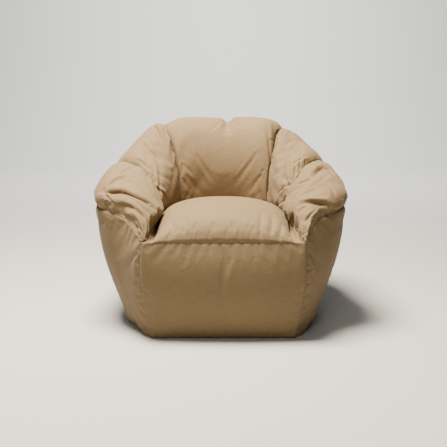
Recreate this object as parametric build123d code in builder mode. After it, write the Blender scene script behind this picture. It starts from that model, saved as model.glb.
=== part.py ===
"""Tub-shaped bean bag chair: a sewn cover in panels, six chambers of beads in liners, and two zips.

Millimetres, +Z up. The chair faces -Y, and the origin is on the floor at the middle of its footprint.
The bolster is a row of upright stations that runs round the seat from one front corner to the other.
Every panel, bag and bead mass of the bolster is a ruled loft between sections drawn at those stations.
"""

import os
from dataclasses import dataclass, replace
from math import cos, hypot, radians, sin

from build123d import *

os.makedirs("parts", exist_ok=True)

# ---- Driving sizes -------------------------------------------------------------------------------

overall_width = 880.0
overall_depth = 820.0
overall_height = 715.0

seat_width = 460.0  # between the arms, at the seat seam
seat_depth = 560.0  # from the front panel to the foot of the back cushion
seat_seam_height = 330.0  # the seam between the front panel and the seat
seat_crown = 105.0  # how far the seat rises above its seam

front_width = 525.0  # the front panel along its top seam
corner_width = 58.0  # how far the bolster's front end lies inside the front corner, across
corner_depth = 75.0  # and back from it
corner_ridge = 13.0  # height of the bolster's front end above the seat seam
corner_ridge_share = 0.5
corner_bulge = 1.0
arm_front_inner_setback = 120.0  # the arm's front section, forward of the widest point, on the seat side
arm_front_outer_setback = 155.0  # and on the outside
arm_front_ridge_share = 0.6
cut_clear = 5.0  # how far a cutting block stands out past what it cuts
chamber_end_setback = 3.0  # how far a chamber stops short of the front corner, in insets
chamber_end_ease = 1.5  # and how far its end is drawn in, in insets
arm_height = 530.0
front_arm_drop = 65.0  # how much lower the arm is halfway to the front corner
front_waist_drop = 8.0  # the same for the waist
front_step_in = 85.0  # how much narrower the chair is there, on each side
front_tuck_in = 8.0  # and the seat
widest_from_front = 260.0
waist_height = 400.0  # the seam between the lower wall and the bolster panels
back_flat = 80.0  # the straight middle of the back
back_dip = 20.0  # how much lower the back's ridge is there than at its two crests

wall_lean = 110.0  # how far the wall leans in, from the waist to the floor
corner_lean = 46.0  # the same at the front corner
arm_bulge = 18.0  # how far a channel swells towards the seat, in its middle
seam_bulge = 6.0  # and at its seams
seam_pinch = 12.0  # how much lower the ridge is at a channel seam
gusset_width = 48.0

cover_thickness = 2.0
web_thickness = 1.2
liner_thickness = 0.8
layer_gap = 0.6
divider_setback = 6.0  # how far the divider stops short of the front corner
web_bottom = 210.0  # beads pass below this level from one back chamber to the next

zip_length_rear = 270.0
zip_length_seat = 320.0
zip_tape_width = 12.0
zip_tape_thickness = 1.2
zip_row_width = 2.7
zip_row_thickness = 2.0
zip_row_gap = 1.6
slider_length = 14.0
slider_width = 10.0
slider_plate = 0.8
slider_clearance = 0.3
slider_post = 1.0
slider_post_length = 2.0
slider_rest = 0.5  # from the closed end of the coil to the slider at rest
stop_length = 4.0
rear_zip_foot = 45.0  # along the wall, from the floor to the rear zip
seat_zip_from_front = 300.0

label_width = 30.0
label_height = 48.0
label_thickness = 0.6
label_level = 60.0
label_gap = 0.9

# ---- Sizes that follow ---------------------------------------------------------------------------

half_width = overall_width / 2
front_y = -overall_depth / 2
rear_y = overall_depth / 2
widest_y = front_y + widest_from_front
back_face_y = front_y + seat_depth

liner_inset = cover_thickness + 1.0
bead_inset = liner_inset + liner_thickness + layer_gap
web_inset = cover_thickness + layer_gap
zip_slot = slider_width / 2 + 1.0
zip_tape_inner = zip_row_gap / 2 + zip_row_width
zip_tape_outer = zip_tape_inner + zip_tape_width
zip_centre_depth = cover_thickness + zip_tape_thickness / 2
slider_inside = zip_row_thickness / 2 + slider_clearance
zip_depth = zip_centre_depth + slider_inside + slider_plate

outline_power = 2.6
ridge_power = 1.37
arm_ridge_share = 0.66  # how far out the ridge stands, from the seat seam to the waist
back_ridge_share = 0.5
ridge_turn = 200.0  # degrees round the tub over which the ridge would move in by the whole reach
shoulder_share = 0.75  # how square the bolster's shoulders are, between 0.5 for a slope and 1 for a box
shoulder_swell = 3.0
dome_angles = (0.0, 25.0, 50.0, 75.0)
dome_centre_y = (front_y + back_face_y) / 2

seam_angle_arm = 14.0  # the seam between arm and wing, round from the widest point, at the outside
seam_angle_arm_inside = 6.0  # and at the seat
seam_angle_back = 50.0  # the seam between wing and back
crest_angle = 77.0  # the back's crest


# ---- Stations ------------------------------------------------------------------------------------


@dataclass(frozen=True)
class Station:
    """An upright plane across the bolster, from the seat seam (inner) to the waist seam (outer)."""

    inner: tuple
    outer: tuple
    waist: float
    ridge: float
    ridge_share: float
    lean: float
    bulge: float

    @property
    def reach(self):
        return hypot(self.outer[0] - self.inner[0], self.outer[1] - self.inner[1])

    @property
    def direction(self):
        return tuple((o - i) / self.reach for i, o in zip(self.inner, self.outer))

    @property
    def foot(self):
        """The wall's foot, in plan."""
        return tuple(o - self.lean * d for o, d in zip(self.outer, self.direction))

    def plane(self, shift=0.0):
        """The station's plane, moved along the bolster by shift. Its x runs outwards and its y up."""
        dx, dy = self.direction
        start = (self.inner[0] - shift * dy, self.inner[1] + shift * dx, 0)
        return Plane(origin=start, x_dir=(dx, dy, 0), z_dir=(dy, -dx, 0))

    def mirrored(self):
        """The same station on the left side."""
        return replace(self, inner=(-self.inner[0], self.inner[1]), outer=(-self.outer[0], self.outer[1]))


def superellipse(half_across, half_along, angle):
    """A point of a full oval about the widest point of the chair, at an angle from +X."""
    power = 2 / outline_power
    turn = radians(angle)
    return half_across * cos(turn) ** power, widest_y + half_along * sin(turn) ** power


def station_at(angle, at_seam, inner_angle=None):
    """A station of the rounded part of the tub, at a channel seam or in the middle of a channel."""
    rise = (overall_height - arm_height) * (1 - (1 - sin(radians(angle))) ** ridge_power)
    return Station(
        inner=superellipse(
            seat_width / 2, back_face_y - widest_y, angle if inner_angle is None else inner_angle
        ),
        outer=superellipse(half_width, rear_y - widest_y, angle),
        waist=waist_height,
        ridge=arm_height + rise - (seam_pinch if at_seam else 0.0),
        ridge_share=max(back_ridge_share, arm_ridge_share - angle / ridge_turn),
        lean=wall_lean,
        bulge=seam_bulge if at_seam else arm_bulge,
    )


def between(a, b, share):
    """A station part of the way from a to b, on the straight rulings between them."""

    def mix(p, q):
        return p + (q - p) * share

    return Station(
        inner=tuple(map(mix, a.inner, b.inner)),
        outer=tuple(map(mix, a.outer, b.outer)),
        waist=mix(a.waist, b.waist),
        ridge=mix(a.ridge, b.ridge),
        ridge_share=mix(a.ridge_share, b.ridge_share),
        lean=mix(a.lean, b.lean),
        bulge=mix(a.bulge, b.bulge),
    )


corner = Station(
    inner=(front_width / 2 - corner_width, front_y + corner_depth),
    outer=(front_width / 2, front_y),
    waist=seat_seam_height,
    ridge=seat_seam_height + corner_ridge,
    ridge_share=corner_ridge_share,
    lean=corner_lean,
    bulge=corner_bulge,
)
arm_middle = station_at(0.0, at_seam=False)
arm_front = Station(
    inner=(seat_width / 2 - front_tuck_in, widest_y - arm_front_inner_setback),
    outer=(half_width - front_step_in, widest_y - arm_front_outer_setback),
    waist=waist_height - front_waist_drop,
    ridge=arm_height - front_arm_drop,
    ridge_share=arm_front_ridge_share,
    lean=(corner_lean + wall_lean) / 2,
    bulge=seam_bulge,
)
arm_seam = station_at(seam_angle_arm, at_seam=True, inner_angle=seam_angle_arm_inside)
wing_middle = station_at((seam_angle_arm + seam_angle_back) / 2, at_seam=False)
back_seam = station_at(seam_angle_back, at_seam=True)
back_crest = replace(station_at(crest_angle, at_seam=False), ridge=overall_height)
back_middle = replace(
    station_at(90.0, at_seam=False),
    inner=(back_flat / 2, back_face_y),
    outer=(back_flat / 2, rear_y),
    ridge=overall_height - back_dip,
)
back_centre = replace(back_middle, inner=(0.0, back_face_y), outer=(0.0, rear_y))

arm_stations = [corner, arm_front, arm_middle, arm_seam]
wing_stations = [arm_seam, wing_middle, back_seam]
back_half = [back_seam, back_crest, back_middle]
back_stations = back_half + [s.mirrored() for s in reversed(back_half)]
side_stations = [corner, arm_front, arm_middle, arm_seam, wing_middle, back_seam]
half_ring = side_stations + [back_crest, back_middle]
ring_stations = half_ring + [s.mirrored() for s in reversed(half_ring)]


# ---- Sections ------------------------------------------------------------------------------------


def draw_crown(station, inset, seam_drop=0.0):
    """Draws the swollen face, the ridge and the outer face as arcs, inset, and returns their two ends."""
    ridge_s = station.reach * station.ridge_share
    beyond = station.reach - ridge_s
    rise = station.ridge - seat_seam_height
    fall = station.ridge - station.waist
    slant = inset * cos(radians(45))
    seam = (inset, seat_seam_height - seam_drop)
    shoulder_in = (
        (1 - shoulder_share) * ridge_s + slant,
        seat_seam_height + shoulder_share * rise - slant,
    )
    shoulder_out = (
        ridge_s + shoulder_share * beyond - slant,
        station.waist + shoulder_share * fall - slant,
    )
    waist = (station.reach - inset, station.waist)
    SagittaArc(seam, shoulder_in, station.bulge)
    ThreePointArc(shoulder_in, (ridge_s, station.ridge - inset), shoulder_out)
    SagittaArc(shoulder_out, waist, shoulder_swell)
    return seam, waist


def bolster_panel_section(station):
    """The cover over the ridge, from the seat seam to the waist seam."""
    with BuildSketch(station.plane()) as sketch:
        with BuildLine():
            seam_face, waist_face = draw_crown(station, 0.0)
            seam_back, waist_back = draw_crown(station, cover_thickness)
            Line(seam_face, seam_back)
            Line(waist_face, waist_back)
        make_face()
    return sketch.sketch


def wall_section(station, low, high, near, far):
    """A strip along the leaning wall between two levels, from near to far behind the cover's face."""

    def at(level, depth):
        return station.reach - station.lean * (1 - level / station.waist) - depth, level

    with BuildSketch(station.plane()) as sketch:
        with BuildLine():
            Polyline(at(low, near), at(high, near), at(high, far), at(low, far), close=True)
        make_face()
    return sketch.sketch


def chamber_section(station, inset, floor, shift=0.0):
    """The chamber behind the cover, from a level up to the ridge."""
    with BuildSketch(station.plane(shift)) as sketch:
        with BuildLine():
            seam, waist = draw_crown(station, inset, seam_drop=inset)
            wall_foot = (station.reach - station.lean * (1 - floor / station.waist) - inset, floor)
            Polyline(waist, wall_foot, (inset, floor), seam)
        make_face()
    return sketch.sketch


def ruled(sections):
    """One solid through the sections, straight between each two."""
    with BuildPart() as made:
        loft(sections, ruled=True)
    return made.part


# ---- Plan outlines -------------------------------------------------------------------------------


def plan(stations, end):
    """The inner, outer or foot points of some stations."""
    return [getattr(s, end) for s in stations]


def inset_outline(points, distance):
    """A closed outline that runs anticlockwise, moved inwards by distance."""
    moved = []
    for before, here, after in zip(points[-1:] + points[:-1], points, points[1:] + points[:1]):
        normals = []
        for a, b in ((before, here), (here, after)):
            length = hypot(b[0] - a[0], b[1] - a[1])
            normals.append(((a[1] - b[1]) / length, (b[0] - a[0]) / length))
        (ax, ay), (bx, by) = normals
        share = distance / (1 + ax * bx + ay * by)
        moved.append((here[0] + (ax + bx) * share, here[1] + (ay + by) * share))
    return moved


def seat_outline(scale=1.0, inset=0.0, at_floor=False):
    """The seat chamber in plan: the front seam and the bolster's inner seam, about the dome's centre."""
    front = plan([corner.mirrored(), corner], "foot" if at_floor else "outer")
    around = front + plan(ring_stations, "inner")
    scaled = [(x * scale, dome_centre_y + (y - dome_centre_y) * scale) for x, y in around]
    return inset_outline(scaled, inset) if inset else scaled


def outline_face(points, level):
    """A flat face at a level."""
    with BuildSketch(Plane.XY.offset(level)) as sketch:
        Polygon(*points, align=None)
    return sketch.sketch


def dome_faces(inset):
    """The seat's crown as level faces that shrink as they rise."""
    faces = []
    for angle in dome_angles:
        scale = cos(radians(angle))
        level = seat_seam_height + (seat_crown - inset) * sin(radians(angle))
        faces.append(outline_face(seat_outline(scale, inset), level))
    return faces


def seat_chamber(inset, floor):
    """The seat chamber from the floor to its crown."""
    return ruled([outline_face(seat_outline(inset=inset, at_floor=True), floor)] + dome_faces(inset))


def base_outline():
    """The chair's footprint."""
    return plan(ring_stations, "foot")


# ---- Zips ----------------------------------------------------------------------------------------


@dataclass(frozen=True)
class Zip:
    """A straight zip. In its plane x runs across the zip, y along it and z out of the chair."""

    name: str
    plane: Plane
    length: float

    def block(self, across, along, out):
        """A box between pairs of places across, along and out of the zip."""
        with BuildPart() as made:
            with BuildSketch(self.plane.offset(out[0])):
                with Locations(((across[0] + across[1]) / 2, (along[0] + along[1]) / 2)):
                    Rectangle(across[1] - across[0], along[1] - along[0])
            extrude(amount=out[1] - out[0])
        return made.part

    def slot(self):
        """The opening between the two lips of cover."""
        return self.block(
            (-zip_slot, zip_slot),
            (-stop_length, self.length + stop_length),
            (-cover_thickness - cut_clear, cut_clear),
        )

    def pocket(self, grow):
        """The room that the zip needs behind the cover."""
        return self.block(
            (-zip_tape_outer - grow, zip_tape_outer + grow),
            (-2 * stop_length - grow, self.length + 2 * stop_length + grow),
            (-zip_depth - grow, cut_clear),
        )


wall_length = hypot(wall_lean, waist_height)
rear_zip = Zip(
    "rear_zip",
    Plane(
        origin=(
            0,
            rear_y - wall_lean * (1 - rear_zip_foot / wall_length),
            waist_height * rear_zip_foot / wall_length,
        ),
        x_dir=(-1, 0, 0),
        z_dir=(0, waist_height, -wall_lean),
    ),
    zip_length_rear,
)
seat_zip = Zip(
    "seat_zip",
    Plane(
        origin=(-zip_length_seat / 2, front_y + seat_zip_from_front, 0), x_dir=(0, 1, 0), z_dir=(0, 0, -1)
    ),
    zip_length_seat,
)
zips = [rear_zip, seat_zip]


def zip_tape(closure, side):
    """One tape with the seam allowance folded on it, behind the cover's lip."""
    places = sorted((side * zip_tape_inner, side * zip_tape_outer))
    ends = (-2 * stop_length, closure.length + 2 * stop_length)
    return closure.block(places, ends, (-cover_thickness - zip_tape_thickness, -cover_thickness))


def zip_row(closure, side):
    """One row of the coil, clamped on the tape's edge."""
    places = sorted((side * zip_row_gap / 2, side * zip_tape_inner))
    outside = -zip_centre_depth + zip_row_thickness / 2
    return closure.block(places, (0, closure.length), (outside - zip_row_thickness, outside))


def zip_slider(closure):
    """The slider at the closed end: two plates, flanges round the coil and the post between its rows."""
    plates_in = zip_centre_depth - slider_inside
    plates_out = zip_centre_depth + slider_inside
    tape_face = zip_tape_thickness / 2 + slider_clearance
    half = slider_width / 2
    ends = (slider_rest, slider_rest + slider_length)
    with BuildPart() as made:
        add(closure.block((-half, half), ends, (-plates_in, -plates_in + slider_plate)))
        add(closure.block((-half, half), ends, (-plates_out - slider_plate, -plates_out)))
        add(
            closure.block(
                (-slider_post / 2, slider_post / 2),
                (ends[1] - slider_post_length, ends[1]),
                (-plates_out, -plates_in),
            )
        )
        for side in (-1, 1):
            flange = sorted((side * (zip_tape_inner + slider_clearance), side * half))
            add(closure.block(flange, ends, (-zip_centre_depth + tape_face, -plates_in)))
            add(closure.block(flange, ends, (-plates_out, -zip_centre_depth - tape_face)))
    return made.part


def zip_stops(closure):
    """The stop at each end of the coil."""
    outside = -zip_centre_depth + zip_row_thickness / 2
    across = (-zip_tape_inner, zip_tape_inner)
    out = (outside - zip_row_thickness, outside)
    low = closure.block(across, (-stop_length, 0), out)
    high = closure.block(across, (closure.length, closure.length + stop_length), out)
    return Compound(children=[low, high])


# ---- Cover ---------------------------------------------------------------------------------------

pieces = {}


def keep(name, shape):
    """Labels a finished piece and files it under its name."""
    shape.label = name
    pieces[name] = shape


def keep_pair(name, shape):
    """Files a right-hand piece and its left-hand mirror image."""
    keep(f"right_{name}", shape)
    keep(f"left_{name}", mirror(shape, about=Plane.YZ, mode=Mode.PRIVATE))


def bolster_panel(stations):
    """A cover panel from the seat seam over the ridge to the waist."""
    return ruled([bolster_panel_section(s) for s in stations])


def wall_panel(stations):
    """A cover panel of the lower wall, from the base to the waist."""
    return ruled([wall_section(s, cover_thickness, s.waist, 0.0, cover_thickness) for s in stations])


keep_pair("arm_panel", bolster_panel(arm_stations))
keep_pair("wing_panel", bolster_panel(wing_stations))
keep("back_panel", bolster_panel(back_stations))
keep_pair("side_panel", wall_panel(side_stations))

with BuildPart() as rear_half:
    add(wall_panel(back_half + [back_centre]))
    add(rear_zip.slot(), mode=Mode.SUBTRACT)
keep_pair("rear_panel", rear_half.part)


def front_face(share):
    """The front panel cut level, at a share of its height, with its ends in the corner stations' planes."""
    dx, dy = corner.direction
    lean = corner.lean * (1 - share)
    face = (corner.outer[0] - lean * dx, corner.outer[1] - lean * dy)
    back = (face[0] + cover_thickness * dx / dy, face[1] + cover_thickness)
    points = [(-face[0], face[1]), face, back, (-back[0], back[1])]
    return outline_face(points, seat_seam_height * share)


with BuildPart() as front_panel:
    loft([front_face(cover_thickness / seat_seam_height), front_face(1.0)], ruled=True)
keep("front_panel", front_panel.part)

seat_zip_y = seat_zip.plane.origin.Y
for name, side in (("base_front_panel", -1), ("base_rear_panel", 1)):
    with BuildPart() as base_panel:
        with BuildSketch():
            Polygon(*base_outline(), align=None)
            with Locations((0, seat_zip_y + side * overall_depth / 2)):
                Rectangle(2 * overall_width, overall_depth, mode=Mode.INTERSECT)
        extrude(amount=cover_thickness)
        add(seat_zip.slot(), mode=Mode.SUBTRACT)
    keep(name, base_panel.part)

with BuildPart() as seat_shell:
    add(ruled(dome_faces(0.0)))
    add(ruled(dome_faces(cover_thickness)), mode=Mode.SUBTRACT)

with BuildPart() as corner_block:
    with BuildSketch(Plane.XY.offset(seat_seam_height - cut_clear)):
        outside_x = front_width / 2 + cut_clear
        Polygon(
            (front_width / 2 - gusset_width, front_y - cut_clear),
            (outside_x, front_y - cut_clear),
            (outside_x, corner.inner[1]),
            corner.inner,
            align=None,
        )
    extrude(amount=seat_crown + 2 * cut_clear)

with BuildPart() as gusset:
    add(seat_shell.part)
    add(corner_block.part, mode=Mode.INTERSECT)
keep_pair("seat_gusset", gusset.part)

with BuildPart() as seat_panel:
    add(seat_shell.part)
    add(corner_block.part, mode=Mode.SUBTRACT)
    add(mirror(corner_block.part, about=Plane.YZ, mode=Mode.PRIVATE), mode=Mode.SUBTRACT)
keep("seat_panel", seat_panel.part)

# ---- Partitions ----------------------------------------------------------------------------------


def divider_face(corner_end, level):
    """The divider's edge at a level: a strip along the seat seam from one front corner to the other."""
    tip_x, tip_y = (e - divider_setback * d for e, d in zip(corner_end, corner.direction))
    path = [(tip_x, tip_y)] + plan(ring_stations, "inner") + [(-tip_x, tip_y)]
    outside = inset_outline(path, -web_thickness / 2)
    inside = inset_outline(path, web_thickness / 2)
    return outline_face(outside + inside[::-1], level)


with BuildPart() as seat_divider:
    loft(
        [divider_face(corner.foot, cover_thickness), divider_face(corner.outer, seat_seam_height)],
        ruled=True,
    )
keep("seat_divider", seat_divider.part)


def web(station):
    """A fabric partition across the bolster, from the web's foot to the ridge."""
    with BuildPart() as made:
        extrude(chamber_section(station, web_inset, web_bottom, web_thickness / 2), web_thickness)
    return made.part


keep_pair("arm_web", web(arm_seam))
keep_pair("wing_web", web(back_seam))

# ---- Liners and bead fill ------------------------------------------------------------------------


def web_room(station, grow, below):
    """The room round a web, as a slab across the bolster."""
    with BuildPart() as made:
        with BuildSketch(station.plane()):
            with Locations((0, (web_bottom - below + overall_height + cut_clear) / 2)):
                Rectangle(2 * overall_width, overall_height - web_bottom + below + cut_clear)
        extrude(amount=web_thickness / 2 + grow, both=True)
    return made.part


def chamber_end(inset):
    """The section that closes a chamber just behind the front corner, clear of the divider and the cover."""
    length = hypot(arm_front.outer[0] - corner.outer[0], arm_front.outer[1] - corner.outer[1])
    end = between(corner, arm_front, chamber_end_setback * inset / length)
    return chamber_section(end, chamber_end_ease * inset, inset)


def back_chambers(stations, inset):
    """The bolster's inside through some stations, with room for the webs and the rear zip left out."""
    sections = [chamber_section(s, inset, inset) for s in stations]
    if stations[0] is corner:
        sections[0] = chamber_end(inset)
    if stations[-1] == corner.mirrored():
        sections[-1] = mirror(sections[0], about=Plane.YZ, mode=Mode.PRIVATE)
    extra = inset - web_inset
    with BuildPart() as made:
        add(ruled(sections))
        for station in (arm_seam, back_seam, back_seam.mirrored(), arm_seam.mirrored()):
            add(web_room(station, extra, extra), mode=Mode.SUBTRACT)
        add(rear_zip.pocket(inset - liner_inset + layer_gap), mode=Mode.SUBTRACT)
    return made.part


def seat_inside(inset):
    """The seat chamber with room for its zip left out."""
    with BuildPart() as made:
        add(seat_chamber(inset, inset))
        add(seat_zip.pocket(inset - liner_inset + layer_gap), mode=Mode.SUBTRACT)
    return made.part


for name, room in (
    ("seat_liner", seat_inside),
    ("back_liner", lambda inset: back_chambers(ring_stations, inset)),
):
    with BuildPart() as liner:
        add(room(liner_inset))
        add(room(liner_inset + liner_thickness), mode=Mode.SUBTRACT)
    keep(name, liner.part)

keep("seat_beads", seat_inside(bead_inset))
keep_pair("arm_beads", back_chambers(arm_stations, bead_inset))
keep_pair("wing_beads", back_chambers(wing_stations, bead_inset))
keep("back_beads", back_chambers(back_stations, bead_inset))

# ---- Zip pieces and label ------------------------------------------------------------------------

for closure in zips:
    keep(f"{closure.name}_tape_right", zip_tape(closure, -1))
    keep(f"{closure.name}_tape_left", zip_tape(closure, 1))
    keep(f"{closure.name}_coil_right", zip_row(closure, -1))
    keep(f"{closure.name}_coil_left", zip_row(closure, 1))
    keep(f"{closure.name}_slider", zip_slider(closure))
    keep(f"{closure.name}_stops", zip_stops(closure))

label_share = label_width / hypot(
    back_crest.outer[0] - back_seam.outer[0], back_crest.outer[1] - back_seam.outer[1]
)
label_top = label_level + label_height
label_far = -label_gap
keep(
    "care_label",
    ruled(
        [
            wall_section(s, label_level, label_top, label_far - label_thickness, label_far)
            for s in (back_seam, between(back_seam, back_crest, label_share))
        ]
    ),
)

for name, shape in pieces.items():
    export_step(shape, f"parts/{name}.step")
print(len(pieces), "pieces")
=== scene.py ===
"""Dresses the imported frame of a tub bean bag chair: sewn canvas cover, partitions, liners, beads and zips.

The bolster that runs round the seat is one family of upright sections.
A bearing in degrees names each section: -60 is the right front corner, 0 the widest point on the right,
90 the middle of the back, 180 the widest point on the left and 240 the left front corner.
Metres, +Z up, the chair faces -Y.
"""

import math

import bmesh
import bpy
import numpy as np
from bpy.props import FloatProperty, FloatVectorProperty, PointerProperty
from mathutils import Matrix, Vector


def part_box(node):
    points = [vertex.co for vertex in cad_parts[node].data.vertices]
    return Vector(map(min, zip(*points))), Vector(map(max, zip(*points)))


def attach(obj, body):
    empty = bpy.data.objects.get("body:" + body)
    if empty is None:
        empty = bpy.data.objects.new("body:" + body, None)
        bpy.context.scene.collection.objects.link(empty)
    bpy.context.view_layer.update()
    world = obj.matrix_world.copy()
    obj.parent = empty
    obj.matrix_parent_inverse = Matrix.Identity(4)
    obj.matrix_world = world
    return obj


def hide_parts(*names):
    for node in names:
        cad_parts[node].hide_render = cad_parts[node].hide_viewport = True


bl_info = {
    "name": "Bean bag chair dressing",
    "version": (1, 0, 0),
    "blender": (4, 5, 0),
    "location": "3D View > Sidebar > Bean Bag",
    "description": "Sews the cover, fillings and zips of a tub bean bag chair round its packed frame",
    "category": "Object",
}

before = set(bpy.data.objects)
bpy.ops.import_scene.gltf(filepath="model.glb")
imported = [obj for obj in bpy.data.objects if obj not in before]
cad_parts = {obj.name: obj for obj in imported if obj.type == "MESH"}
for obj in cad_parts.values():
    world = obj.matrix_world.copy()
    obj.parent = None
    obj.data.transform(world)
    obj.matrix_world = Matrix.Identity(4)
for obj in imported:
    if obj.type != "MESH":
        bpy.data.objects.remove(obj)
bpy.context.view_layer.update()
SEAT_LOW, SEAT_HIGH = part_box("seat_panel")
FRONT_LOW, FRONT_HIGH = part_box("front_panel")
SIDE_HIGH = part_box("right_side_panel")[1]
BACK_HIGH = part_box("back_panel")[1]

CORNER, ARM_SEAM, BACK_SEAM, MIDDLE = -60.0, 14.0, 50.0, 90.0
LEFT_CORNER, LEFT_ARM_SEAM, LEFT_BACK_SEAM = 180 - CORNER, 180 - ARM_SEAM, 180 - BACK_SEAM
SEAMS = (ARM_SEAM, BACK_SEAM, LEFT_BACK_SEAM, LEFT_ARM_SEAM)
CURL = 0.036  # radius at which the wall turns under the base
FURROW_REACH = 0.085  # how far from its seam a channel starts to round over
ZIP_LIP = 0.006  # from a zip's middle to the edge of the cover beside it
SEAM_GAP = 0.0002  # the same where the seam is closed
SEAT_ZIP_BEHIND = 0.300  # from the chair's front to the base seam
SEAT_ZIP_HALF = 0.171  # half the length over which the base seam is open
REAR_ZIP = (0.030, 0.318)  # heights between which the rear seam is open
FLOOR_GAP = 0.001  # lowest that a panel of the walls or the front comes
STUFFING_FRAMES = 20
MM = 1000  # the fold and gather tables are in millimetres


# ---- Sizes and colours a user would change -------------------------------------------------------


def size_of(label, description, default):
    """A size in metres that a user would change."""
    return FloatProperty(name=label, description=description, default=default, unit="LENGTH")


def colour_of(label, description, default):
    """A colour that a user would change."""
    return FloatVectorProperty(name=label, description=description, default=default, subtype="COLOR", size=3)


class TubSizes(bpy.types.PropertyGroup):
    """The chair's own sizes, taken from the frame, and how full and creased its cover is."""

    half_width: size_of("Half width", "From the middle to the widest point", SIDE_HIGH.x)
    front_y: size_of("Front", "Where the front panel stands", FRONT_LOW.y)
    rear_y: size_of("Rear", "Where the back wall stands", BACK_HIGH.y)
    height: size_of("Height", "Top of the back's crests", BACK_HIGH.z)
    seat_half_width: size_of("Seat half width", "Between the arms", SEAT_HIGH.x)
    seat_back_y: size_of("Seat back", "Foot of the back cushion", SEAT_HIGH.y)
    seam_height: size_of("Seat seam", "Height of the seat's seam", SEAT_LOW.z)
    seat_top: size_of("Seat top", "Top of the seat's crown", SEAT_HIGH.z + 0.0035)
    front_half_width: size_of("Front half width", "Half the front panel's top", FRONT_HIGH.x)
    waist_height: size_of("Waist", "Seam between wall and bolster", SIDE_HIGH.z)
    arm_height: size_of("Arm height", "Top of the arms", 0.53)
    wall_lean: size_of("Wall lean", "How far the wall leans in", 0.11)
    corner_lean: size_of("Corner lean", "The same at the front corners", 0.046)
    furrow: size_of("Furrow", "Depth of the furrows between channels", 0.048)
    mesh_step: size_of("Mesh step", "Size of a mesh square on the cover", 0.0038)
    canvas_thickness: size_of("Canvas", "Thickness of the canvas", 0.002)


class TubLook(bpy.types.PropertyGroup):
    """Colours of the finishes."""

    canvas: colour_of("Canvas", "Colour of the cover", (0.150, 0.100, 0.047))
    partition: colour_of("Partition", "Inner fabric", (0.62, 0.56, 0.48))
    liner: colour_of("Liner", "Liner fabric", (0.78, 0.77, 0.74))
    beads: colour_of("Beads", "Bead filling", (0.86, 0.86, 0.85))
    zip_tape: colour_of("Zip tape", "Woven zip tape", (0.20, 0.135, 0.08))
    zip_coil: colour_of("Zip coil", "Nylon coil", (0.13, 0.085, 0.05))
    zip_slider: colour_of("Slider", "Painted slider", (0.11, 0.07, 0.04))
    label: colour_of("Label", "Blank care label", (0.82, 0.80, 0.75))


# ---- Arithmetic ----------------------------------------------------------------------------------


def smooth_through(knots, values, at):
    """Natural cubic spline: cubic arcs through the values whose slope and curvature agree at each knot."""
    knots, values, at = (np.asarray(x, float) for x in (knots, values, at))
    gaps = np.diff(knots)
    slopes = np.diff(values, axis=0) / gaps[:, None]
    count = len(knots)
    inner = np.arange(1, count - 1)
    matrix, right = np.eye(count), np.zeros_like(values)
    matrix[inner, inner - 1] = gaps[:-1]
    matrix[inner, inner] = 2 * (gaps[:-1] + gaps[1:])
    matrix[inner, inner + 1] = gaps[1:]
    right[1:-1] = 6 * np.diff(slopes, axis=0)
    bend = np.linalg.solve(matrix, right)
    i = np.clip(np.searchsorted(knots, at, side="right") - 1, 0, count - 2)
    gap, before, after = gaps[i][:, None], (at - knots[i])[:, None], (knots[i + 1] - at)[:, None]
    cubic = (bend[i] * after**3 + bend[i + 1] * before**3) / (6 * gap)
    return (
        cubic
        + (values[i] / gap - bend[i] * gap / 6) * after
        + (values[i + 1] / gap - bend[i + 1] * gap / 6) * before
    )


def unit(vectors):
    """The vectors, scaled to length one."""
    return vectors / np.maximum(np.linalg.norm(vectors, axis=-1, keepdims=True), 1e-12)


def grid_normals(points):
    """Normals of a grid: the cross product of the steps along its two directions."""
    return unit(np.cross(np.gradient(points, axis=0), np.gradient(points, axis=1)))


def respace(points, count):
    """Each row of points moved to even steps of its own length."""
    steps = np.linalg.norm(np.diff(points, axis=1), axis=2)
    length = np.concatenate([np.zeros((len(points), 1)), np.cumsum(steps, axis=1)], axis=1)
    share = np.linspace(0, 1, count)
    rows = [
        np.stack([np.interp(share * along[-1], along, row[:, k]) for k in range(points.shape[2])], axis=1)
        for row, along in zip(points, length)
    ]
    return np.array(rows)


def lengths(points, axis):
    """Running length along one direction of a grid."""
    steps = np.linalg.norm(np.diff(points, axis=axis), axis=2)
    pad = [(0, 0), (0, 0)]
    pad[axis] = (1, 0)
    return np.cumsum(np.pad(steps, pad), axis=axis)


def round_over(distance, reach):
    """One at a seam and zero beyond reach, falling as a quarter circle: the side of a stuffed channel."""
    x = 1 - np.clip(distance / reach, 0, 1)
    return 1 - np.sqrt(1 - x * x)


def hump(x, middle, width):
    """A bell curve."""
    return np.exp(-(((x - middle) / width) ** 2))


def soft_step(past, width=0.002):
    """An exponential of how far a place is past an edge, from next to nothing before it to very large."""
    return np.exp(np.clip(past / width, -50, 50))


# ---- The tub's sections --------------------------------------------------------------------------


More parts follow.
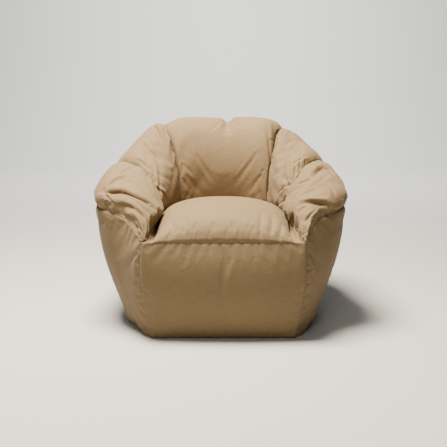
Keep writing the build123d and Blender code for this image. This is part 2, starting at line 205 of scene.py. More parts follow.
def half_ring(sizes):
    """Right half of the sections from the front corner to the middle of the back.

    Each row: bearing, inner x y, outer x y, waist, ridge, how far out the ridge stands, lean, inner seam.
    From the widest point back the plan is a superellipse, x = cos^k and y = sin^k of the bearing.
    """
    middle_y = sizes.front_y + 0.26
    power = 2 / 2.6

    def oval(half_across, half_along, bearing):
        turn = math.radians(bearing)
        return half_across * math.cos(turn) ** power, middle_y + half_along * math.sin(turn) ** power

    def section(outer_bearing, inner_bearing, ridge, share):
        inner = oval(sizes.seat_half_width, sizes.seat_back_y - middle_y, inner_bearing)
        outer = oval(sizes.half_width, sizes.rear_y - middle_y, outer_bearing)
        seam = sizes.seam_height + 0.025
        return [outer_bearing, *inner, *outer, sizes.waist_height, ridge, share, sizes.wall_lean, seam]

    rise = sizes.height - sizes.arm_height
    front_x, front_y, wide = sizes.front_half_width, sizes.front_y, sizes.half_width
    corner = [
        CORNER, front_x - 0.014, front_y + 0.024, front_x + 0.001, front_y + 0.002,
        sizes.seam_height + 0.002, sizes.seam_height + 0.012, 0.5, sizes.corner_lean,
        sizes.seam_height + 0.004,
    ]
    arm_front = [
        -28.0, sizes.seat_half_width + 0.010, middle_y - 0.125, wide - 0.088, middle_y - 0.150,
        sizes.waist_height - 0.006, sizes.arm_height - 0.062, 0.58, (sizes.wall_lean + sizes.corner_lean) / 2,
        sizes.seam_height + 0.022,
    ]
    arm = sizes.arm_height
    return np.array([
        corner,
        arm_front,
        section(0.0, 0.0, arm, 0.66),
        section(ARM_SEAM, 6.0, arm + 0.32 * rise, 0.60),
        section(32.0, 30.0, arm + 0.65 * rise, 0.52),
        section(BACK_SEAM, 50.0, arm + 0.87 * rise, 0.46),
        section(77.0, 77.0, sizes.height, 0.42),
    ])


def ring(sizes, bearings):
    """Every section's values at the bearings, round both halves.

    The left arm is a little the fuller of the two.
    """
    bearings = np.asarray(bearings, float)
    half = half_ring(sizes)
    middle = half[-1:].copy()
    middle[0, [0, 1, 2, 3, 4, 6]] = [MIDDLE, 0, sizes.seat_back_y, 0, sizes.rear_y, sizes.height - 0.003]
    other = half[::-1].copy()
    other[:, 0] = 180 - other[:, 0]
    other[:, [1, 3]] *= -1
    knots = np.concatenate([half, middle, other])
    found = smooth_through(knots[:, 0], knots[:, 1:], bearings)
    for column, change, middle, width in OUTLINE_HUMPS:
        found[:, column] += change * hump(bearings, middle, width)
    return found


# Column of the sections, how much is added to it, at which bearing, and over how many degrees.
OUTLINE_HUMPS = (
    (2, -0.016, 5, 28), (2, -0.018, 30, 16), (2, -0.006, 176, 28),
    (5, 0.018, 133, 7), (5, -0.026, 28, 16), (5, -0.026, 158, 13),
    (7, -0.012, 0, 26), (7, -0.012, 180, 26), (7, -0.023, -40, 19), (7, -0.023, 220, 19),
    (4, 0.018, 0, 26), (4, 0.018, 180, 26),
)


def section_grid(sizes, bearings, count):
    """The bolster from the waist over the ridge to the seat seam: one row per bearing.

    The face towards the seat is a quarter superellipse with a swell, and so is the outer face.
    """
    values = ring(sizes, bearings)
    inner_x, inner_y, outer_x, outer_y, waist, ridge, share, _, seam = (v[:, None] for v in values.T)
    reach = np.hypot(outer_x - inner_x, outer_y - inner_y)
    turn = np.linspace(0, math.pi / 2, 90)[None, :]
    up, over = np.sin(turn) ** (2 / 2.25), 1 - np.cos(turn) ** (2 / 2.25)
    rise, fall, ridge_s = ridge - seam, ridge - waist, share * reach
    swell = np.minimum(0.020, 0.12 * reach)
    face_s = ridge_s * over - swell * np.sin(math.pi * up**0.8)
    face_z = seam + rise * up
    out, down = np.sin(turn) ** (2 / 2.3), np.cos(turn) ** (2 / 2.3)
    outer_s = ridge_s + (reach - ridge_s) * out + 0.5 * swell * np.sin(math.pi * down)
    outer_z = waist + fall * down
    s = np.concatenate([face_s, outer_s[:, 1:]], axis=1)
    z = np.concatenate([face_z, outer_z[:, 1:]], axis=1)
    along_x, along_y = (outer_x - inner_x) / reach, (outer_y - inner_y) / reach
    return respace(np.stack([inner_x + s * along_x, inner_y + s * along_y, z], axis=2)[:, ::-1], count)


def wall_grid(sizes, bearings, count):
    """The lower wall from the base seam up to the waist.

    It curls out from under as a quarter circle and swells as a half sine.
    """
    values = ring(sizes, bearings)
    inner_x, inner_y, outer_x, outer_y, waist, _, _, lean, _ = (v[:, None] for v in values.T)
    reach = np.hypot(outer_x - inner_x, outer_y - inner_y)
    level = np.concatenate([np.linspace(1, 0, 60)[:-1], np.zeros(30)])[None, :]
    turn = np.concatenate([np.zeros(59), np.linspace(0, math.pi / 2, 30)])[None, :]
    z = CURL + (waist - CURL) * level - CURL * np.sin(turn)
    swell = 0.018 * np.sin(math.pi * np.clip(1 - level, 0, 1) ** 0.85) * np.cos(turn)
    round_share = 0.2 + 0.8 * (lean - sizes.corner_lean) / (sizes.wall_lean - sizes.corner_lean)
    inward = lean * (1 - z / waist) + CURL * round_share * (1 - np.cos(turn)) - swell
    along_x, along_y = (outer_x - inner_x) / reach, (outer_y - inner_y) / reach
    x, y = outer_x - inward * along_x, outer_y - inward * along_y
    return respace(np.stack([x, y, np.maximum(z, 0.0015)], axis=2)[:, ::-1], count)


# ---- Sewing --------------------------------------------------------------------------------------


def edge_distance(points, side):
    """Distance of each grid point from one edge of the grid, measured along the grid."""
    along = lengths(points, 0 if side in ("start", "end") else 1)
    if side == "start" or side == "low":
        return along
    return (along[-1:] if side == "end" else along[:, -1:]) - along


EDGES = {"start": np.s_[:1], "end": np.s_[-1:], "low": np.s_[:, :1], "high": np.s_[:, -1:]}


def sew(points, side, seam, reach):
    """Pulls one edge of a grid on to a seam, fading as a quarter circle over the reach."""
    pull = seam - points[EDGES[side]]
    return points + round_over(edge_distance(points, side), reach)[..., None] * pull


def puckers(points, side, count, depth, length, seed, low, high):
    """Short creases that run off a seam at about a right angle: bells across, rising then dying away.

    Depth and length are in millimetres; low and high are the shares of the seam between which they lie.
    """
    random = np.random.default_rng(seed)
    depth, length = depth / MM, length / MM
    along = lengths(points, 1 if side in ("start", "end") else 0)
    total = along.max()
    away = edge_distance(points, side)
    spots = np.linspace(low, high, count) * total + random.normal(0, 0.3 * total / count, count)
    width = random.uniform(0.005, 0.011, count)
    reach = length * random.uniform(0.5, 1.3, count)
    strength = depth * random.uniform(0.4, 1.0, count)
    lean = random.normal(0, 0.6, count)
    offset = np.zeros(points.shape[:2])
    for spot, wide, far, deep, tilt in zip(spots, width, reach, strength, lean):
        across = along - spot - tilt * away
        fade = (away / far) * np.exp(1 - away / far)
        spread = wide * (1 + away / far)
        offset -= deep * fade * (np.exp(-((across / spread) ** 2)) - 0.45 * hump(across, 2 * spread, spread))
    return points + offset[..., None] * grid_normals(points)


def sample(points, places):
    """Points of a grid at places given as shares of its two directions."""
    places = np.asarray(places, float)
    i = places[:, 0] * (points.shape[0] - 1)
    j = places[:, 1] * (points.shape[1] - 1)
    i0 = np.clip(i.astype(int), 0, points.shape[0] - 2)
    j0 = np.clip(j.astype(int), 0, points.shape[1] - 2)
    fi, fj = (i - i0)[:, None], (j - j0)[:, None]
    near = points[i0, j0] * (1 - fj) + points[i0, j0 + 1] * fj
    far = points[i0 + 1, j0] * (1 - fj) + points[i0 + 1, j0 + 1] * fj
    return near * (1 - fi) + far * fi


def fold(points, depth, width, lip, overhang, path):
    """A crease along a path of places: a bell-shaped valley, a lip on its left, and cloth drawn over it.

    The four sizes are in millimetres, and the places are shares of the grid's two directions.
    """
    depth, width, lip, overhang = depth / MM, width / MM, lip / MM, overhang / MM
    steps = 48
    places = smooth_through(np.linspace(0, 1, len(path)), np.array(path), np.linspace(0, 1, steps))
    line = sample(points, places)
    normals = sample(grid_normals(points), places)
    tangent = unit(np.gradient(line, axis=0))
    across = unit(np.cross(normals, tangent))
    flat = points.reshape(-1, 3)
    gap = flat[:, None, :] - line[None, :, :]
    distance = np.linalg.norm(gap, axis=2)
    nearest = distance.argmin(axis=1)
    side = np.einsum("ij,ij->i", gap[np.arange(len(flat)), nearest], across[nearest])
    away = distance.min(axis=1)
    share = nearest / (steps - 1)
    taper = np.sin(math.pi * np.clip(share, 0.02, 0.98)) ** 0.5
    past = np.sqrt(np.maximum(away**2 - side**2, 0))
    taper *= np.exp(-((past / width) ** 2))
    valley = np.exp(-((side / width) ** 2))
    ridge = hump(side, 1.7 * width, 1.2 * width)
    lift = taper * (lip * ridge - depth * valley)
    drawn = taper * overhang * hump(side, 1.1 * width, 1.3 * width)
    moved = flat + lift[:, None] * grid_normals(points).reshape(-1, 3) - drawn[:, None] * across[nearest]
    return moved.reshape(points.shape)


def ripple(points, depth, size, seed):
    """Gentle random waves over a panel: a sum of slanted sine waves of about one size."""
    random = np.random.default_rng(seed)
    along, over = lengths(points, 0), lengths(points, 1)
    wave = np.zeros(points.shape[:2])
    for _ in range(7):
        turn, phase = random.uniform(0, 2 * math.pi, 2)
        pitch = 2 * math.pi / (size * random.uniform(0.7, 1.6))
        wave += np.sin(pitch * (along * math.cos(turn) + over * math.sin(turn)) + phase)
    fade = np.ones_like(wave)
    for side in EDGES:
        fade *= 1 - np.exp(-((edge_distance(points, side) / 0.03) ** 2))
    return points + (depth * fade * wave / 2.6)[..., None] * grid_normals(points)


def keep_side(points, seam, outward, gap):
    """Keeps points on their own side of an upright seam plane, through the seam's two ends."""
    flat = np.array([seam[-1, 0] - seam[0, 0], seam[-1, 1] - seam[0, 1], 0.0])
    across = unit(np.cross(flat, [0, 0, 1.0])) * outward
    over = gap - (points - seam[0]) @ across
    return points + np.maximum(over, 0)[..., None] * across


# ---- Stuffing ------------------------------------------------------------------------------------


def refine(points, times):
    """A grid with each square split, through natural cubic splines along both directions."""
    for _ in range(2):
        rows, columns, _ = points.shape
        finer = smooth_through(
            np.arange(rows), points.reshape(rows, -1), np.linspace(0, rows - 1, times * (rows - 1) + 1)
        )
        points = finer.reshape(-1, columns, 3).transpose(1, 0, 2)
    return points


def nearest_seam(points):
    """Distance of each grid point from the nearest edge of its panel."""
    return np.minimum.reduce([edge_distance(points, side) for side in EDGES])


def stuffed(name, points, growth, slack, reach, pressure, cap):
    """A panel cut too large for its seams and blown up from inside: cloth simulation with its edges pinned.

    The cloth is larger by growth at the seams, falling to slack at the reach. No point moves beyond the cap.
    """
    rows, columns, _ = points.shape
    piece = put_mesh(f"{name}_blank", points, grid_faces(rows, columns))
    away = nearest_seam(points).ravel()
    pins = piece.vertex_groups.new(name="sewn")
    pins.add(np.flatnonzero(away < 1e-6).tolist(), 1.0, "REPLACE")
    loose = piece.vertex_groups.new(name="middle")
    weight = np.clip(away / reach, 0, 1)
    for step in range(1, 11):
        inside = np.flatnonzero((weight > (step - 1) / 10) & (weight <= step / 10))
        loose.add(inside.tolist(), step / 10, "REPLACE")
    cloth = piece.modifiers.new("cloth", "CLOTH")
    settings = cloth.settings
    settings.quality = 5
    settings.mass = 0.25
    settings.tension_stiffness = 20
    settings.compression_stiffness = 20
    settings.shear_stiffness = 8
    settings.bending_stiffness = 2.0
    settings.air_damping = 2
    settings.vertex_group_mass = "sewn"
    settings.vertex_group_shrink = "middle"
    settings.shrink_min = -growth
    settings.shrink_max = -slack
    settings.use_pressure = True
    settings.uniform_pressure_force = pressure
    settings.effector_weights.gravity = 0
    cloth.point_cache.frame_start, cloth.point_cache.frame_end = 1, STUFFING_FRAMES
    scene = bpy.context.scene
    for step in range(1, STUFFING_FRAMES + 1):
        scene.frame_set(step)
    shape = piece.evaluated_get(bpy.context.evaluated_depsgraph_get()).data
    flat = np.zeros(rows * columns * 3)
    shape.vertices.foreach_get("co", flat)
    scene.frame_set(1)
    bpy.data.objects.remove(piece)
    move = flat.reshape(points.shape) - points
    size = np.linalg.norm(move, axis=2, keepdims=True)
    return refine(points + move * np.minimum(1, cap / np.maximum(size, 1e-9)), 2)


# ---- Meshes --------------------------------------------------------------------------------------


def put_mesh(name, vertices, faces, uvs=None):
    """A new object from arrays, with smooth shading and, where given, its own UV map in metres."""
    mesh = bpy.data.meshes.new(name)
    faces = faces if isinstance(faces, list) else faces.tolist()
    mesh.from_pydata(vertices.reshape(-1, 3).tolist(), [], faces)
    mesh.polygons.foreach_set("use_smooth", np.ones(len(mesh.polygons), bool))
    if uvs is not None:
        layer = mesh.uv_layers.new(name="cloth")
        corners = np.zeros(len(mesh.loops), int)
        mesh.loops.foreach_get("vertex_index", corners)
        layer.data.foreach_set("uv", uvs.reshape(-1, 2)[corners].astype(np.float32).ravel())
    mesh.update()
    piece = bpy.data.objects.new(name, mesh)
    bpy.context.scene.collection.objects.link(piece)
    return piece


def grid_faces(rows, columns):
    """The squares of a grid, as four corners each."""
    index = np.arange(rows * columns).reshape(rows, columns)
    return np.stack([index[:-1, :-1], index[1:, :-1], index[1:, 1:], index[:-1, 1:]], axis=-1).reshape(-1, 4)


def turned_out(vertices, faces):
    """The faces, reversed if the closed shape's signed volume is negative."""
    a, b, c, d = (vertices[faces[:, k]] for k in range(4))
    volume = np.einsum("ij,ij->i", a, np.cross(b, c) + np.cross(c, d)).sum()
    return faces if volume > 0 else faces[:, ::-1]


def tube(loops):
    """Closed loops joined one to the next, with a point at each end's middle that its cap's faces share."""
    rows, columns, _ = loops.shape
    index = np.arange(rows * columns).reshape(rows, columns)
    after = np.roll(index, -1, axis=1)
    sides = np.stack([index[:-1], index[1:], after[1:], after[:-1]], axis=-1).reshape(-1, 4)
    ends = np.stack([loops[0].mean(axis=0), loops[-1].mean(axis=0)])
    vertices = np.concatenate([loops.reshape(-1, 3), ends])
    first, last = rows * columns, rows * columns + 1
    start = np.stack([index[0], after[0], np.full(columns, first)], axis=-1)
    end = np.stack([after[-1], index[-1], np.full(columns, last)], axis=-1)
    sides = turned_out(vertices, sides)
    if sides[0, 1] != index[1, 0]:
        start, end = start[:, ::-1], end[:, ::-1]
    return vertices, [*sides.tolist(), *start.tolist(), *end.tolist()]


def capped(top, bottom):
    """Two grids of one size as the top and bottom of a closed body with straight sides."""
    rows, columns, _ = top.shape
    index = np.arange(rows * columns).reshape(rows, columns)
    rim = np.concatenate([index[:-1, 0], index[-1, :-1], index[:0:-1, -1], index[0, :0:-1]])
    step = rows * columns
    upper = grid_faces(rows, columns)
    lower = grid_faces(rows, columns)[:, ::-1] + step
    after = np.roll(rim, -1)
    sides = np.stack([rim, rim + step, after + step, after], axis=-1)
    vertices = np.concatenate([top.reshape(-1, 3), bottom.reshape(-1, 3)])
    return vertices, [*upper.tolist(), *lower.tolist(), *sides.tolist()]


def put_panel(name, points, thickness):
    """A sewn panel: its grid as the outside face, with the cloth's thickness behind it."""
    uvs = np.stack([lengths(points, 0), lengths(points, 1)], axis=2)
    piece = put_mesh(name, points, grid_faces(*points.shape[:2]), uvs)
    solid = piece.modifiers.new("cloth thickness", "SOLIDIFY")
    solid.thickness = thickness
    solid.offset = -1
    solid.use_rim = True
    return piece


def finish_piece(piece, material, slot, *nodes, body="chair"):
    """Paints a piece, ties it to its body and lets it stand for its CAD nodes; the slot is not used."""
    piece.data.materials.append(material)
    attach(piece, body)
    if nodes:
        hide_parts(*nodes)
    return piece


# ---- Materials -----------------------------------------------------------------------------------


def new_material(name):
    """An empty node material: its tree, its shader and a shorthand for adding linked nodes."""
    material = bpy.data.materials.new(name)
    material.use_nodes = True
    tree = material.node_tree
    shader = tree.nodes["Principled BSDF"]

    def add(kind, inputs=(), **settings):
        node = tree.nodes.new(kind)
        for key, value in settings.items():
            setattr(node, key, value)
        for key, value in dict(inputs).items():
            if isinstance(value, bpy.types.NodeSocket):
                tree.links.new(value, node.inputs[key])
            else:
                node.inputs[key].default_value = value
        return node

    return material, tree, shader, add


def canvas_material(name, colour, thread, bump, uv=""):
    """Plain-woven cloth: warp and weft bands, slubs, uneven dye and a matte face with a slight sheen."""
    material, tree, shader, add = new_material(name)
    if uv:
        place = add("ShaderNodeUVMap", uv_map=uv).outputs["UV"]
    else:
        place = add("ShaderNodeTexCoord").outputs["Object"]
    bands = {"Vector": place, "Scale": 1 / (math.pi * thread), "Distortion": 1.2, "Detail": 2.0,
             "Detail Scale": 2.0}
    warp = add("ShaderNodeTexWave", bands, wave_type="BANDS", bands_direction="X")
    weft = add("ShaderNodeTexWave", bands, wave_type="BANDS", bands_direction="Y")
    weave = add("ShaderNodeMath", {0: warp.outputs["Fac"], 1: weft.outputs["Fac"]}, operation="MULTIPLY")
    along = add("ShaderNodeMapping", {"Vector": place, "Scale": (40.0, 420.0, 40.0)})
    across = add("ShaderNodeMapping", {"Vector": place, "Scale": (420.0, 40.0, 420.0)})
    slub_a = add("ShaderNodeTexNoise", {"Vector": along.outputs["Vector"], "Scale": 1.0, "Detail": 2.0})
    slub_b = add("ShaderNodeTexNoise", {"Vector": across.outputs["Vector"], "Scale": 1.0, "Detail": 2.0})
    slubs = add("ShaderNodeMath", {0: slub_a.outputs["Fac"], 1: slub_b.outputs["Fac"]}, operation="ADD")
    object_place = add("ShaderNodeTexCoord").outputs["Object"]
    dye = add("ShaderNodeTexNoise", {"Vector": object_place, "Scale": 7.0, "Detail": 5.0, "Roughness": 0.6})
    tone = add("ShaderNodeMath", {0: slubs.outputs[0], 1: 0.34, 2: 0.66}, operation="MULTIPLY_ADD")
    tone_weave = add("ShaderNodeMath", {0: weave.outputs[0], 1: 0.16, 2: tone.outputs[0]},
                     operation="MULTIPLY_ADD")
    tone_dye = add("ShaderNodeMath", {0: dye.outputs["Fac"], 1: 0.22, 2: tone_weave.outputs[0]},
                   operation="MULTIPLY_ADD")
    shade = add("ShaderNodeMath", {0: tone_dye.outputs[0], 1: 0.16}, operation="SUBTRACT")
    mixed = add("ShaderNodeVectorMath", {0: tuple(colour), "Scale": shade.outputs[0]}, operation="SCALE")
    tree.links.new(mixed.outputs["Vector"], shader.inputs["Base Color"])
    shader.inputs["Roughness"].default_value = 0.78
    shader.inputs["Specular IOR Level"].default_value = 0.32
    shader.inputs["Sheen Weight"].default_value = 0.07
    shader.inputs["Sheen Roughness"].default_value = 0.45
    shader.inputs["Sheen Tint"].default_value = (1.0, 0.9, 0.76, 1.0)
    fine = add("ShaderNodeTexNoise", {"Vector": object_place, "Scale": 55.0, "Detail": 4.0})
    height = add("ShaderNodeMath", {0: slubs.outputs[0], 1: 0.8, 2: weave.outputs[0]},
                 operation="MULTIPLY_ADD")
    weave_bump = add("ShaderNodeBump", {"Height": height.outputs[0], "Strength": bump, "Distance": 0.0006})
    cloth_bump = add("ShaderNodeBump", {"Height": fine.outputs["Fac"], "Strength": 0.25, "Distance": 0.004,
                                        "Normal": weave_bump.outputs["Normal"]})
    tree.links.new(cloth_bump.outputs["Normal"], shader.inputs["Normal"])
    return material


def bead_material(name, colour):
    """Packed expanded polystyrene beads: round cells that stand proud, each a slightly different white,
    painted darker towards their edges as painted shade between the beads.
    """
    material, tree, shader, add = new_material(name)
    place = add("ShaderNodeTexCoord").outputs["Object"]
    cells = add("ShaderNodeTexVoronoi", {"Vector": place, "Scale": 240.0}, feature="F1")
    # Painted shade: each cell is darkened towards its edge, where the beads meet. The same values also raise
    # the cells in the bump.
    cell_rise_and_gap_shade = add("ShaderNodeMapRange", {"Value": cells.outputs["Distance"], "From Min": 0.0, "From Max": 0.8,
                                      "To Min": 1.0, "To Max": 0.55})
    grey = add("ShaderNodeMapRange", {"Value": cells.outputs["Color"], "To Min": 0.9, "To Max": 1.02})
    shade = add("ShaderNodeMath", {0: cell_rise_and_gap_shade.outputs[0], 1: grey.outputs[0]}, operation="MULTIPLY")
    mixed = add("ShaderNodeVectorMath", {0: tuple(colour), "Scale": shade.outputs[0]}, operation="SCALE")
    tree.links.new(mixed.outputs["Vector"], shader.inputs["Base Color"])
    shader.inputs["Roughness"].default_value = 0.6
    bump = add("ShaderNodeBump", {"Height": cell_rise_and_gap_shade.outputs[0], "Strength": 0.8, "Distance": 0.0015})
    tree.links.new(bump.outputs["Normal"], shader.inputs["Normal"])
    return material


def moulded_material(name, colour, metallic, roughness):
    """A small moulded or painted part: fine speckle in its colour and roughness."""
    material, tree, shader, add = new_material(name)
    place = add("ShaderNodeTexCoord").outputs["Object"]
    speckle = add("ShaderNodeTexNoise", {"Vector": place, "Scale": 900.0, "Detail": 3.0})
    tone = add("ShaderNodeMapRange", {"Value": speckle.outputs["Fac"], "To Min": 0.82, "To Max": 1.18})
    mixed = add("ShaderNodeVectorMath", {0: tuple(colour), "Scale": tone.outputs[0]}, operation="SCALE")
    tree.links.new(mixed.outputs["Vector"], shader.inputs["Base Color"])
    worn = add("ShaderNodeMapRange", {"Value": speckle.outputs["Fac"], "To Min": roughness - 0.08,
                                      "To Max": roughness + 0.1})
    tree.links.new(worn.outputs[0], shader.inputs["Roughness"])
    shader.inputs["Metallic"].default_value = metallic
    bump = add("ShaderNodeBump", {"Height": speckle.outputs["Fac"], "Strength": 0.15, "Distance": 0.0002})
    tree.links.new(bump.outputs["Normal"], shader.inputs["Normal"])
    return material


FINISHES = {
    "canvas": (canvas_material, dict(thread=0.0022, bump=0.35, uv="cloth")),
    "partition": (canvas_material, dict(thread=0.0016, bump=0.2)),
    "liner": (canvas_material, dict(thread=0.001, bump=0.12)),
    "beads": (bead_material, {}),
    "zip_tape": (canvas_material, dict(thread=0.0009, bump=0.3)),
    "label": (canvas_material, dict(thread=0.0007, bump=0.1)),
    "zip_coil": (moulded_material, dict(metallic=0.0, roughness=0.42)),
    "zip_slider": (moulded_material, dict(metallic=0.7, roughness=0.38)),
}


def finish_named(look, slot):
    """The material of a record slot, made once."""
    name = f"finish_{slot}"
    made = bpy.data.materials.get(name)
    if made:
        return made
    make, settings = FINISHES[slot]
    return make(name, getattr(look, slot), **settings)


# ---- Operators -----------------------------------------------------------------------------------


SEWN = {}


def corner_point(sizes, side):
    """Where the front, side, arm and gusset panels meet; side is 1 on the right and -1 on the left."""
    x = side * (sizes.front_half_width - 0.001)
    return np.array([x, sizes.front_y + 0.002, sizes.seam_height + 0.002])


def sunk(points, depth, values):
    """Points moved towards the seat by a depth, along their sections."""
    along = unit(values[:, 2:4] - values[:, 0:2])
    return points - depth * np.concatenate([along, np.zeros((len(points), 1))], axis=1)


def channel_seam(sizes, bearing, count):
    """The seam between two channels: the section there, sunk by the furrow except at its two ends."""
    around = section_grid(sizes, np.array([bearing - 0.5, bearing, bearing + 0.5]), count)
    share = np.linspace(0, 1, count)
    sink = sizes.furrow * np.sin(math.pi * share) ** 0.55
    return around[1] - sink[:, None] * grid_normals(around)[1]


def waist_seam(sizes, bearings):
    """The seam between wall and bolster, a little inside the two."""
    return sunk(section_grid(sizes, bearings, 40)[:, 0], 0.003, ring(sizes, bearings))


def dome_side(sizes, side):
    """The seat panel's side edge as a spline: front seam, gusset seam, then the foot of the bolster."""
    bearings = np.array([12.0, 20, 30, 38, 45])
    values = ring(sizes, bearings if side > 0 else 180 - bearings)
    foot = np.stack([values[:, 0], values[:, 1], values[:, 8]], axis=1)
    front = [[side * 0.229, sizes.front_y, sizes.seam_height], [side * 0.223, sizes.front_y + 0.11, 0.338]]
    knots = np.concatenate([front, foot])
    run = np.concatenate([[0], np.cumsum(np.linalg.norm(np.diff(knots, axis=0), axis=1))])
    return run, knots


class TubOperator:
    """What the operators share: the sizes, the finishes and how far apart blank mesh lines stand."""

    bl_options = {"REGISTER", "UNDO"}

    @property
    def sizes(self):
        return bpy.context.scene.tub_sizes

    def finish(self, slot):
        return finish_named(bpy.context.scene.tub_look, slot)

    def steps(self, length):
        """How many mesh lines a blank has over a length; stuffing doubles them."""
        return max(8, int(round(length / (2 * self.sizes.mesh_step))))

    def canvas(self, name, points):
        """A finished canvas panel in the place of its CAD node."""
        SEWN[name] = points
        piece = put_panel(f"{name}_canvas", points, self.sizes.canvas_thickness)
        return finish_piece(piece, self.finish("canvas"), "canvas", name)


class TUB_OT_bolster(TubOperator, bpy.types.Operator):
    """Sews the arm, wing and back panels of the bolster"""

    bl_idname = "tub.bolster"
    bl_label = "Bolster panels"

    def execute(self, context):
        self.panel("right_arm_panel", CORNER, ARM_SEAM, 0.52, 0.72)
        self.panel("left_arm_panel", LEFT_ARM_SEAM, LEFT_CORNER, 0.52, 0.72)
        self.panel("right_wing_panel", ARM_SEAM, BACK_SEAM, 0.36, 0.90)
        self.panel("left_wing_panel", LEFT_BACK_SEAM, LEFT_ARM_SEAM, 0.36, 0.90)
        self.panel("back_panel", BACK_SEAM, LEFT_BACK_SEAM, 0.62, 0.95)
        return {"FINISHED"}

    def panel(self, name, low, high, length, height):
        """One channel: the sections between two bearings, sewn down along its four edges, then stuffed."""
        sizes = self.sizes
        columns = self.steps(height)
        bearings = np.linspace(low, high, self.steps(length))
        points = section_grid(sizes, bearings, columns)
        seams = []
        for side, bearing, outward in (("start", low, 1), ("end", high, -1)):
            if bearing in SEAMS:
                seams.append((channel_seam(sizes, bearing, columns), outward))
                points = sew(points, side, seams[-1][0][None], FURROW_REACH)
            else:
                edge = points[EDGES[side]]
                tip = corner_point(sizes, np.sign(edge[0, 0, 0]))
                tip = tip + 0.25 * (edge - edge.mean(axis=1, keepdims=True))
                points = sew(points, side, tip, 0.05)
        points = sew(points, "low", waist_seam(sizes, bearings)[:, None], 0.03)
        for crease in FOLDS.get(name, []):
            points = fold(points, *crease)
        points = stuffed(name, points, slack=0.010, reach=0.11, pressure=3.0, **FULLNESS[name])
        edges = {side: points[place].copy() for side, place in EDGES.items()}
        for gather in GATHERS[name]:
            points = puckers(points, *gather)
        for crease in CREASES[name]:
            points = fold(points, *crease)
        for seam, outward in seams:
            points = keep_side(points, seam, outward, 0.0006)
        for side, edge in edges.items():
            points = sew(points, side, edge, 0.010)
        self.canvas(name, points)


# How much larger than its seams each panel is cut, and how far stuffing may move it.
FULLNESS = {
    "right_arm_panel": dict(growth=0.036, cap=0.012),
    "left_arm_panel": dict(growth=0.036, cap=0.012),
    "right_wing_panel": dict(growth=0.026, cap=0.011),
    "left_wing_panel": dict(growth=0.026, cap=0.011),
    "back_panel": dict(growth=0.004, cap=0.005),
}
# Pressed in before stuffing: depth, width, lip, overhang, and the path.
FOLDS = {
    "left_arm_panel": [
        (15, 12, 6, 8,
         [(0.3, 0.19), (0.41, 0.25), (0.455, 0.34), (0.522, 0.41), (0.567, 0.51), (0.582, 0.654)]),
        (6, 8, 4, 0, [(0.34, 0.22), (0.3, 0.3), (0.25, 0.38), (0.22, 0.46)]),
    ],
    "right_arm_panel": [
        (14, 10, 6, 5, [(0.78, 0.47), (0.83, 0.45), (0.87, 0.4), (0.86, 0.33), (0.82, 0.28)]),
        (9, 10, 6, 0, [(0.8, 0.34), (0.7, 0.43), (0.62, 0.52), (0.6, 0.62)]),
        (10, 9, 5, 0, [(0.366, 0.53), (0.351, 0.39), (0.37, 0.27), (0.42, 0.17)]),
    ],
    "back_panel": [
        (18, 18, 3, 0, [(0.478, 0.38), (0.475, 0.46), (0.475, 0.53), (0.473, 0.6)]),
    ],
}
